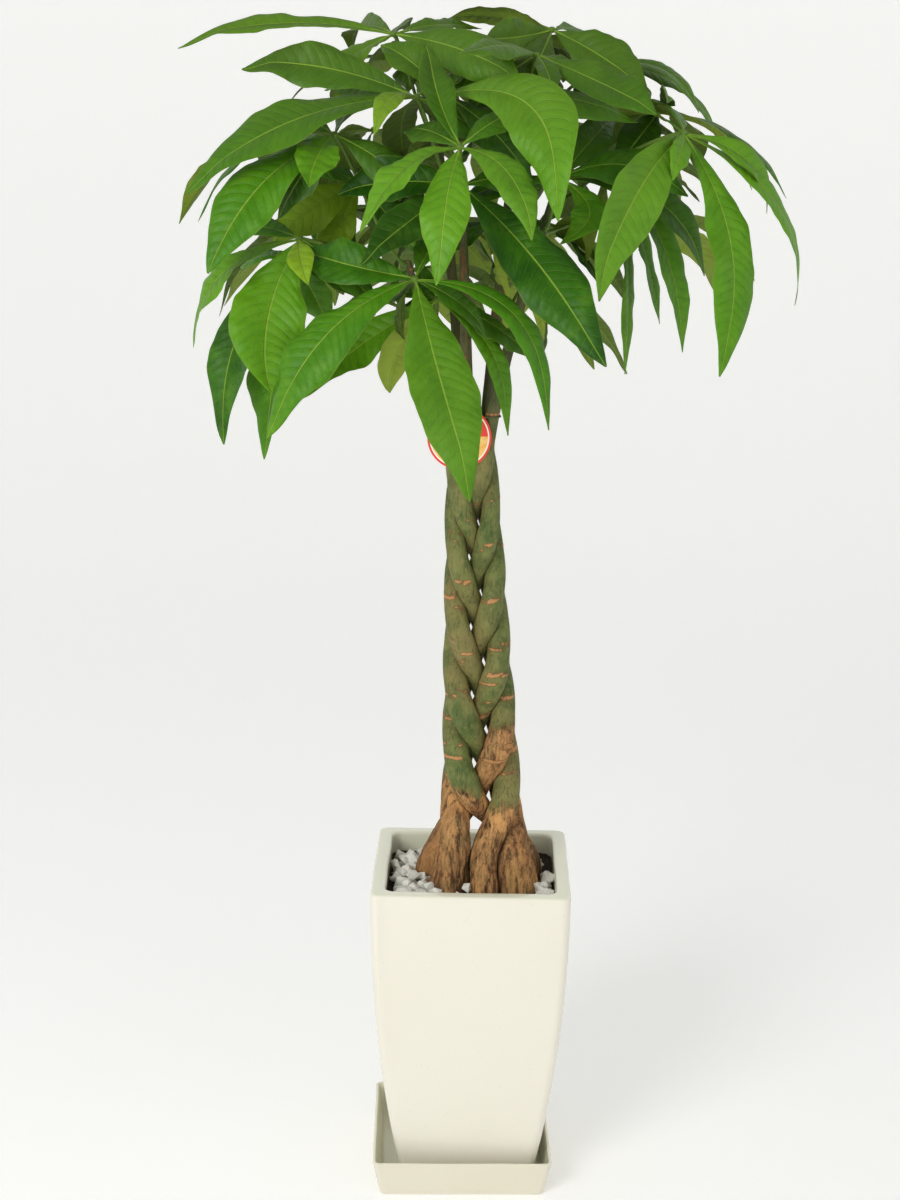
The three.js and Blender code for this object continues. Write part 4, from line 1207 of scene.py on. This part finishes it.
# %% Stalks of the leaves behind
BACK_LEAVES = [
    {"trunk": 1, "from": 1370, "hub": (215, 160, 1400), "azimuth": 35, "reach": 250},
    {"trunk": 2, "from": 1390, "hub": (90, 190, 1375), "azimuth": 75, "reach": 240},
    {"trunk": 0, "from": 1350, "hub": (-60, 195, 1380), "azimuth": 105, "reach": 240},
    {"trunk": 0, "from": 1400, "hub": (-190, 135, 1390), "azimuth": 145, "reach": 250},
    {"trunk": 1, "from": 1445, "hub": (250, 60, 1530), "azimuth": 10, "reach": 230},
    {"trunk": 2, "from": 1450, "hub": (180, 195, 1505), "azimuth": 50, "reach": 240},
    {"trunk": 2, "from": 1430, "hub": (30, 215, 1495), "azimuth": 90, "reach": 240},
    {"trunk": 0, "from": 1440, "hub": (-140, 205, 1500), "azimuth": 125, "reach": 240},
    {"trunk": 0, "from": 1460, "hub": (-240, 90, 1495), "azimuth": 165, "reach": 230},
    {"trunk": 2, "from": 1535, "hub": (70, 160, 1605), "azimuth": 70, "reach": 220},
    {"trunk": 0, "from": 1495, "hub": (-80, 130, 1600), "azimuth": 125, "reach": 230},
    {"trunk": 2, "from": 1250, "hub": (80, 100, 1300), "azimuth": 50, "reach": 210},
    {"trunk": 0, "from": 1270, "hub": (-70, 90, 1315), "azimuth": 130, "reach": 210},
]
print("leaves behind:", len(BACK_LEAVES))

# %% [markdown]
# The leaves behind open in a fan by rule, so that the crown is full from every side. Their
# numbers are drawn from one small generator in a fixed order, the same that laid out their
# solids, so they come out the same each time.

# %% The leaves behind
FAN = {
    "count": 5, "spread": 57, "jitter": 8, "width": 0.27,
    "droop": {"low": 42, "high": 21, "jitter": 14, "side": 0.25},
    "heights": {"low": 1300, "high": 1620},
    "length": {"side": 0.3, "least": 0.92, "spread": 0.16},
    "arch": {"least": 0.09, "spread": 0.07}, "sway": 0.1, "roll": 30, "seed": 11,
    "tone": {"least": 0.25, "step": 0.12, "steps": 5},
}


class Draws:
    """A repeatable random number in [0, 1)."""

    def __init__(self, seed):
        self.state = seed

    def next(self):
        self.state = (self.state * 1664525 + 1013904223) % 4294967296
        return self.state / 4294967296

    def about(self, size):
        return size * (self.next() - 0.5)

    def between(self, limits):
        return limits["least"] + limits["spread"] * self.next()


def hanging(hub, length, azimuth, fall):
    """The tip of a leaflet of this length that points one way and hangs by `fall` degrees."""
    way, fall = math.radians(azimuth), math.radians(fall)
    level, z = length * math.cos(fall), hub[2] - length * math.sin(fall)
    return (hub[0] + level * math.cos(way), hub[1] + level * math.sin(way), z)


def fan_leaf(leaf, place, draws):
    hub, heights = leaf["hub"], FAN["heights"]
    high = (hub[2] - heights["low"]) / (heights["high"] - heights["low"])
    droop = lerp(FAN["droop"]["low"], FAN["droop"]["high"], high)
    blades = []
    for n in range(FAN["count"]):
        spread = (n - (FAN["count"] - 1) / 2) * FAN["spread"] + draws.about(FAN["jitter"])
        ahead = math.cos(math.radians(spread)) - 1
        length = leaf["reach"] * (1 + FAN["length"]["side"] * ahead) * draws.between(FAN["length"])
        fall = droop * (1 + FAN["droop"]["side"] * ahead) + draws.about(FAN["droop"]["jitter"])
        tip = hanging(hub, length, leaf["azimuth"] + spread, fall)
        arch = length * draws.between(FAN["arch"])
        sway = length * draws.about(FAN["sway"])
        tone = FAN["tone"]["least"] + FAN["tone"]["step"] * ((place * 3 + n * 2) % FAN["tone"]["steps"])
        blades.append((*tip, length * FAN["width"], arch, sway, draws.about(FAN["roll"]), tone))
    return {**leaf, "name": f"leaf_back_{place + 1}", "blades": blades}


draws = Draws(FAN["seed"])
leaves = FRONT_LEAVES + [fan_leaf(leaf, place, draws) for place, leaf in enumerate(BACK_LEAVES)]
print("leaves:", len(leaves), "leaflets:", sum(len(leaf["blades"]) for leaf in leaves))

# %% [markdown]
# Where leaflets would have crossed, the solids were bent clear: a tip was moved by whole steps
# up, down or sideways until it hung free. The same steps are tried here, nearest first, until
# the tip meets the corner of a solid, so each leaflet lies where its solid does.

# %% Find each leaflet's tip in the solids
LEAF = {"root": 4.5, "wave": 0.05, "belly": 1.3, "blunt": 0.8, "hub": 5.5, "seed": 100}
STATIONS = (0, 0.1, 0.34, 0.6, 0.83, 1)
FACE = {"up": 0.8, "out": 0.6}
CROWN = (20, 20)
BEND = {"step": 9, "most": 8, "near": 1.6}
STEPS = range(-BEND["most"], BEND["most"] + 1)
BENDS = sorted(((lift, swing) for lift in STEPS for swing in STEPS), key=lambda b: (math.hypot(*b), b))


def leaflet_frame(hub, tip):
    """Along the leaflet, out of its upper face, and across it."""
    along = (tip - hub).normalized()
    middle = (hub + tip) / 2
    outward = Vector((middle.x - CROWN[0], middle.y - CROWN[1], 0)).normalized()
    up = Vector((0, 0, FACE["up"])) + outward * FACE["out"]
    up = (up - along * up.dot(along)).normalized()
    return along, up, along.cross(up)


def corners_of(node):
    tree = KDTree(len(node.data.vertices))
    for vertex in node.data.vertices:
        tree.insert(vertex.co / MM, vertex.index)
    tree.balance()
    return tree


def found_tip(hub, tip, corners):
    up, across = leaflet_frame(hub, tip)[1:]
    for lift, swing in BENDS:
        moved = tip + up * (lift * BEND["step"]) + across * (swing * BEND["step"])
        if corners.find(moved)[2] < BEND["near"]:
            return moved
    raise ValueError(f"no solid leaflet ends near {tuple(tip)}")


moved_tips = 0
for leaf in leaves:
    hub, corners = Vector(leaf["hub"]), corners_of(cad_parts[leaf["name"]])
    tips = [found_tip(hub, Vector(row[:3]), corners) for row in leaf["blades"]]
    moved_tips += sum((tip - Vector(row[:3])).length > 1 for tip, row in zip(tips, leaf["blades"]))
    leaf["tips"] = tips
print("leaflets bent clear of a neighbour:", moved_tips)

# %% [markdown]
# A leaflet's cross-section opens from a shallow fold at the rib to margins that droop and
# waver. A flat cut-out bent with modifiers would show the same edge everywhere, so each section
# is worked out point by point along an arched rib. The upper and the under side are two skins,
# half a millimetre apart, that close on a thin rim. The root is a round little stalk.

# %% The rib and the outline
BLADE = {
    "rows": 52, "thick": 0.5, "stalk": 3.2, "point": 2.4, "fold": (0.14, 0.5), "droop": (0.12, 0.42),
    "wave": (0.1, 0.26), "notch": 0.09, "twist": 14, "hook": (0.0, 0.05), "lopsided": 0.07,
    "taper": 0.27, "taper_over": (0.6, 0.95), "curl": 0.035, "curl_from": 0.78, "hook_from": 0.8,
    "stalk_over": (0.03, 0.13), "rib": 0.8, "rib_width": 0.09, "tone": 0.07,
    "root": 0.8, "open_over": (0.03, 0.3), "droop_bend": 2.4, "notches": 9, "ruffles": 6, "crimps": 15,
    "rim": 0.02, "round": 2, "flat": 8, "twist_from": 0.4,
}
ACROSS = (-1, -0.87, -0.7, -0.53, -0.36, -0.19, -0.05, 0.05, 0.19, 0.36, 0.53, 0.7, 0.87, 1)


def width_share(t):
    place = min(t, 0.999) ** LEAF["belly"]
    return math.sin(math.pi * place) ** LEAF["blunt"]


def wave_at(t):
    """The slow wave of the solid's strip: it turns over from each station to the next."""
    for place, (low, high) in enumerate(zip(STATIONS, STATIONS[1:])):
        if t <= high:
            return math.cos(math.pi * (place + (t - low) / (high - low)))
    return math.cos(math.pi * len(STATIONS))


def bezier(root, bend, tip, t):
    return root * (1 - t) ** 2 + bend * 2 * t * (1 - t) + tip * t * t


def bezier_way(root, bend, tip, t):
    return ((bend - root) * (1 - t) + (tip - bend) * t).normalized()


def habit_of(tone, draw):
    """How one leaflet grows, drawn in a fixed order."""
    habit = {key: draw.uniform(*BLADE[key]) for key in ("droop", "wave", "hook", "fold")}
    spread = BLADE["lopsided"]
    habit["folds"] = [habit["fold"] + draw.uniform(-spread, spread) for _ in range(2)]
    habit["twist"] = draw.uniform(-BLADE["twist"], BLADE["twist"])
    habit["curl"] = draw.choice((-1, 1)) * draw.uniform(0.3, 1) * BLADE["curl"]
    habit["seeds"] = (draw.uniform(0, 9), draw.uniform(10, 19))
    habit["look"] = (tone + draw.uniform(-BLADE["tone"], BLADE["tone"]), draw.random(), 0)
    return habit


print("points across a leaflet:", len(ACROSS))

# %% Its sections
def margin_noise(t, seed, rate):
    return noise.noise(Vector((t * rate, seed * 17, seed * 5)))


def section(spine, across, face, t, width, habit):
    """The upper and the under side's points at one step of the rib, and the half width there."""
    stalk = 1 - smooth(t, *BLADE["stalk_over"])
    blade = 1 - stalk
    share = width_share(t) * (1 - BLADE["taper"] * smooth(t, *BLADE["taper_over"]))
    opened = smooth(t, *BLADE["open_over"])
    half = max(width * share, lerp(LEAF["root"] * BLADE["root"], BLADE["point"], opened)) / 2
    thick = lerp(BLADE["thick"], BLADE["stalk"], stalk) / 2
    edge = BLADE["round"] if stalk > 0.5 else BLADE["flat"]
    top, under = [], []
    for u in ACROSS:
        side = 0 if u < 0 else 1
        seed = habit["seeds"][side]
        reach = half * (1 + BLADE["notch"] * margin_noise(t, seed, BLADE["notches"]) * blade)
        drooped = habit["droop"] * abs(u) ** BLADE["droop_bend"]
        rise = half * blade * (habit["folds"][side] * abs(u) - drooped)
        slow = -u * wave_at(t) * LEAF["wave"] * width * share
        ruffle = margin_noise(t, seed + 3, BLADE["ruffles"])
        ruffle += 0.5 * margin_noise(t, seed + 6, BLADE["crimps"])
        quick = habit["wave"] * half * abs(u) ** 2 * ruffle * blade
        shut = math.sqrt(max(1 - u ** edge, BLADE["rim"]))
        rib = BLADE["rib"] * (1 - t) * math.exp(-(u / BLADE["rib_width"]) ** 2) * blade
        at = spine + across * (reach * u) + face * (rise + slow + quick)
        top.append(tuple(at + face * thick * shut))
        under.append(tuple(at - face * (thick * shut + rib)))
    return top, under, half


def closed_blade(shape, tops, unders):
    shape.skin(tops, closed=False)
    shape.skin(unders, closed=False, flip=True)
    for side in (0, -1):
        margins = [[line[side] for line in lines] for lines in (tops, unders)]
        shape.strip(*margins, flip=side == 0)
    for end in (0, -1):
        shape.strip(tops[end], unders[end], flip=end == -1)


def leaflet(shape, hub, tip, row, draw):
    width, arch, sway, roll, tone = row[3:]
    along, up, sideways = leaflet_frame(hub, tip)
    root = hub + along * LEAF["hub"] / 2
    bend = (hub + tip) / 2 + up * 2 * arch + sideways * 2 * sway
    length = (tip - hub).length
    habit = habit_of(tone, draw)
    tops, unders = [], []
    for step in range(BLADE["rows"] + 1):
        t = step / BLADE["rows"]
        way = bezier_way(root, bend, tip, t)
        normal = (up - way * up.dot(way)).normalized()
        turn = math.radians(roll + habit["twist"] * (t - BLADE["twist_from"]))
        across = way.cross(normal) * math.cos(turn) + normal * math.sin(turn)
        curled = (max(t - BLADE["curl_from"], 0) / (1 - BLADE["curl_from"])) ** 2
        spine = bezier(root, bend, tip, t) + sideways * (habit["curl"] * length * curled)
        spine.z -= habit["hook"] * length * smooth(t, BLADE["hook_from"], 1)
        top, under, half = section(spine, across, across.cross(way), t, width, habit)
        places = [(u, t * length / 10, half / 10) for u in ACROSS]
        tops.append(shape.row(top, places, habit["look"]))
        unders.append(shape.row(under, places, (*habit["look"][:2], 1)))
    closed_blade(shape, tops, unders)


print("faces in a leaflet:", 2 * BLADE["rows"] * (len(ACROSS) - 1))

# %% [markdown]
# The stalk leaves its shoot outwards, rises in one easy curve, and ends in the hub, a small knob
# that all its leaflets spring from. The smallest leaflets point back into the crown, over the
# stalk, and close the fan: without them the crown would look like a set of open hands.

# %% The stalk and the hub
STALK = {"radius": 2.4, "steps": 18, "sides": 10, "out": 8, "reach": 0.3, "rise": 0.15,
         "near": 0.75, "height": 0.8, "over": 8, "swell": 0.5, "foot": 0.06, "head": 0.05, "sunk": 1.5}
KNOB = {"rings": 8, "sides": 12, "wide": 0.95, "tall": 0.8}
ON_STALK = 2


def stalk(shape, leaf, look):
    hub, shoot = Vector(leaf["hub"]), trunk_point(leaf["trunk"], leaf["from"])
    outward = Vector((hub.x - shoot.x, hub.y - shoot.y, 0)).normalized()
    start = shoot + outward * (trunk_size(leaf["trunk"], leaf["from"])[0] + 2 * GAP)
    reach = math.hypot(hub.x - start.x, hub.y - start.y)
    leaving = start + outward * (STALK["out"] + STALK["reach"] * reach)
    leaving.z = lerp(start.z, hub.z, STALK["rise"])
    arriving = start.lerp(hub, STALK["near"])
    arriving.z = lerp(start.z, hub.z, STALK["height"]) + STALK["over"]
    line = interpolate_bezier(start, leaving, arriving, hub, STALK["steps"] + 1)
    line[0] = line[0] - outward * STALK["sunk"]
    across = outward.cross(Vector((0, 0, 1)))
    rows = []
    for step, point in enumerate(line):
        t = step / STALK["steps"]
        way = (line[min(step + 1, STALK["steps"])] - line[max(step - 1, 0)]).normalized()
        normal = across.cross(way).normalized()
        ends = math.exp(-(t / STALK["foot"]) ** 2) + math.exp(-((1 - t) / STALK["head"]) ** 2)
        radius = STALK["radius"] * (1 + STALK["swell"] * ends)
        ring = []
        for side in range(STALK["sides"]):
            angle = TURN * side / STALK["sides"]
            off = normal * math.cos(angle) + across * math.sin(angle)
            ring.append(tuple(point + off * radius))
        rows.append(shape.row(ring, [(ON_STALK, t, 0)] * len(ring), look))
    shape.skin(rows)
    shape.cap(rows[0], flip=True)
    shape.cap(rows[-1])


def knob(shape, hub, look):
    rows, sides = [], KNOB["sides"]
    for step in range(1, KNOB["rings"]):
        angle = math.pi * step / KNOB["rings"]
        radius = LEAF["hub"] * KNOB["wide"] * math.sin(angle)
        z = LEAF["hub"] * KNOB["tall"] * math.cos(angle)
        turns = [TURN * side / sides for side in range(sides)]
        ring = [(hub[0] + radius * math.cos(a), hub[1] + radius * math.sin(a), hub[2] + z) for a in turns]
        rows.append(shape.row(ring, [(ON_STALK, 1, 0)] * sides, look))
    shape.skin(rows)
    shape.cap(rows[0])
    shape.cap(rows[-1], flip=True)


print("stalk steps:", STALK["steps"])

# %% The inner leaflets
INNER = {
    "turns": (138, 222), "jitter": 14, "reach": (0.5, 0.68), "droop": (12, 48), "width": 0.36,
    "arch": 0.09, "roll": 20, "tone": (0.05, 0.4), "fewest": 5, "front_reach": 250,
}


def inner_leaflets(shape, leaf, draw):
    """Two small leaflets that point back into the crown, over the stalk."""
    hub = Vector(leaf["hub"])
    outward = math.degrees(math.atan2(hub.y - CROWN[1], hub.x - CROWN[0]))
    for turn in INNER["turns"]:
        azimuth = leaf.get("azimuth", outward) + turn + draw.uniform(-INNER["jitter"], INNER["jitter"])
        length = leaf.get("reach", INNER["front_reach"]) * draw.uniform(*INNER["reach"])
        tip = Vector(hanging(hub, length, azimuth, draw.uniform(*INNER["droop"])))
        roll = draw.uniform(-INNER["roll"], INNER["roll"])
        tone = draw.uniform(*INNER["tone"])
        row = (*tip, length * INNER["width"], length * INNER["arch"], 0, roll, tone)
        leaflet(shape, hub, tip, row, draw)


def grow(leaf, place):
    draw = random.Random(LEAF["seed"] + place)
    shape, look = Shape(), (0.5, draw.random(), 0)
    stalk(shape, leaf, look)
    knob(shape, leaf["hub"], look)
    for tip, row in zip(leaf["tips"], leaf["blades"]):
        leaflet(shape, Vector(leaf["hub"]), tip, row, draw)
    if "azimuth" in leaf or len(leaf["tips"]) <= INNER["fewest"]:
        inner_leaflets(shape, leaf, draw)
    return shape.object(leaf["name"], "leaf", sharp=55)


grown = [grow(leaf, place) for place, leaf in enumerate(leaves)]

# %% [markdown]
# The upper side is a waxy green, deepest in old leaves. Its brightest yellow green is painted light
# that shines through leaflets lit from behind, and leaves high in the crown are painted a duller
# olive, a painted sky sheen. A pale yellow rib runs down it, and the side veins leave it in pairs
# and curve towards the tip, with the blade puffed up between them.
# Veins could be painted on an image for each leaf. Here every point of a leaflet knows how far
# along and across the blade it lies, in centimetres, so one saw-tooth wave, leaning and bent, rules
# the veins on all of them at their real distance. The under side is paler and dull, and a
# little light comes through from behind, which a Translucent shader gives.

# %% Veins
VEINS = {"apart": 1.4, "lean": 0.5, "curve": 0.07, "wander": 0.5}
RIB = {"least": 0.045, "share": 0.02, "stalk": 0.09, "soft": (0.55, 1.35)}


def vein_net(f, along, out, side, seed, waver):
    """1 on the side veins, and how far the blade is puffed up between them."""
    lag = VEINS["lean"] * out + VEINS["curve"] * out * out
    phase = (along - lag) * (1 / VEINS["apart"]) + 3 * seed + VEINS["wander"] * waver
    saw = f.node("Math", {"operation": "PINGPONG"}, {0: phase, 1: 0.5})
    vein = (1 - saw.rise(0.0, 0.075)) * (1 - side.rise(0.6, 0.95))
    return vein, saw.rise(0.0, 0.45) * (1 - side.rise(0.75, 1.0))


def midrib(along, out, half):
    stalkward = 1 - along.rise(0.8, 4.0)
    rib_half = RIB["least"] + RIB["share"] * half + RIB["stalk"] * stalkward
    low, high = RIB["soft"]
    return 1 - out.rise(rib_half * low, rib_half * high)


print("side veins every", VEINS["apart"], "cm")

# %% Greens of the two sides
def upper_side(f, age_and_light, tone, seed, patch, speck, vein):
    height = f.parts(f.spot(1, 1, 1))[2]
    upper = f.mix(age_and_light.rise(0.0, 0.5), tint(30, 78, 6), tint(70, 130, 12))
    upper = f.mix(age_and_light.rise(0.4, 0.9), upper, tint(106, 164, 28))
    # Leaflets of the highest tones turn a bright yellow green: painted light that shines through a leaflet
    # lit from behind.
    upper = f.mix(tone.rise(0.82, 1.0), upper, tint(144, 180, 38))
    upper = f.mix(seed.rise(0.5, 1.0) * 0.25, upper, tint(92, 116, 34))
    # Leaves high in the crown are painted a duller olive: a painted sky sheen on the top of the crown.
    upper = f.mix(height.rise(1.42, 1.62) * 0.5, upper, tint(88, 108, 36))
    upper = f.mix(patch.rise(0.52, 0.75) * 0.25, upper, tint(110, 142, 44))
    upper = f.mix((1 - speck.rise(0.25, 0.45)) * 0.3, upper, tint(20, 54, 10))
    return f.mix(vein * 0.26, upper, tint(124, 162, 58))


def lower_side(f, tone, vein):
    lower = f.mix(tone.rise(0.1, 0.9), tint(92, 116, 44), tint(148, 170, 58))
    return f.mix(vein * 0.45, lower, tint(160, 176, 96))


print("greens ready")

# %% Leaf green
THROUGH = {"color": (0.22, 0.42, 0.03, 1), "share": 0.2}


def leaf_green():
    f = Finish("leaf_green")
    across, along, half = f.given("place")
    tone, seed, under = f.given("look")
    side = abs(across)
    out = side * half
    cloud = f.grain(15, 3, 0.6)
    patch = f.grain(44, 5, 0.62)
    speck = f.grain(190, 4, 0.65)
    vein, puff = vein_net(f, along, out, side, seed, cloud + 0.6 * patch)
    rib = midrib(along, out, half)
    # How bright the green is: the leaflet's tone with clouds and patches, whose top end also holds painted
    # light through backlit leaflets.
    age_and_light = tone + 0.55 * (cloud - 0.5) + 0.4 * (patch - 0.5) + 0.04 * puff
    upper = upper_side(f, age_and_light, tone, seed, patch, speck, vein)
    color = f.mix(under, upper, lower_side(f, tone, vein))
    stem = side.rise(1.4, 1.6)
    color = f.mix(rib * (1 - stem) * 0.8, color, tint(146, 182, 62))
    color = f.mix(side.rise(0.95, 1.0) * (1 - stem) * 0.4, color, tint(132, 152, 56))
    color = f.mix(stem, color, f.mix(speck, tint(82, 116, 40), tint(118, 146, 60)))
    relief = puff * 0.42 + 0.4 * speck + 0.85 * cloud + 0.9 * patch - rib * 0.8 - vein * 0.4
    shader = f.surface(
        Base_Color=color, Roughness=0.3 + 0.26 * patch + 0.2 * under, Specular_IOR_Level=0.25,
        Normal=f.bump(relief * (1 - stem), 0.0014, 0.8))
    glow = f.node("BsdfTranslucent", {}, {"Color": THROUGH["color"]})
    return f.done(f.node("MixShader", {}, {0: THROUGH["share"], 1: shader, 2: glow}))


leaf_material = leaf_green()
for piece in grown:
    piece.data.materials.append(leaf_material)
print("green on", len(grown), "leaves")
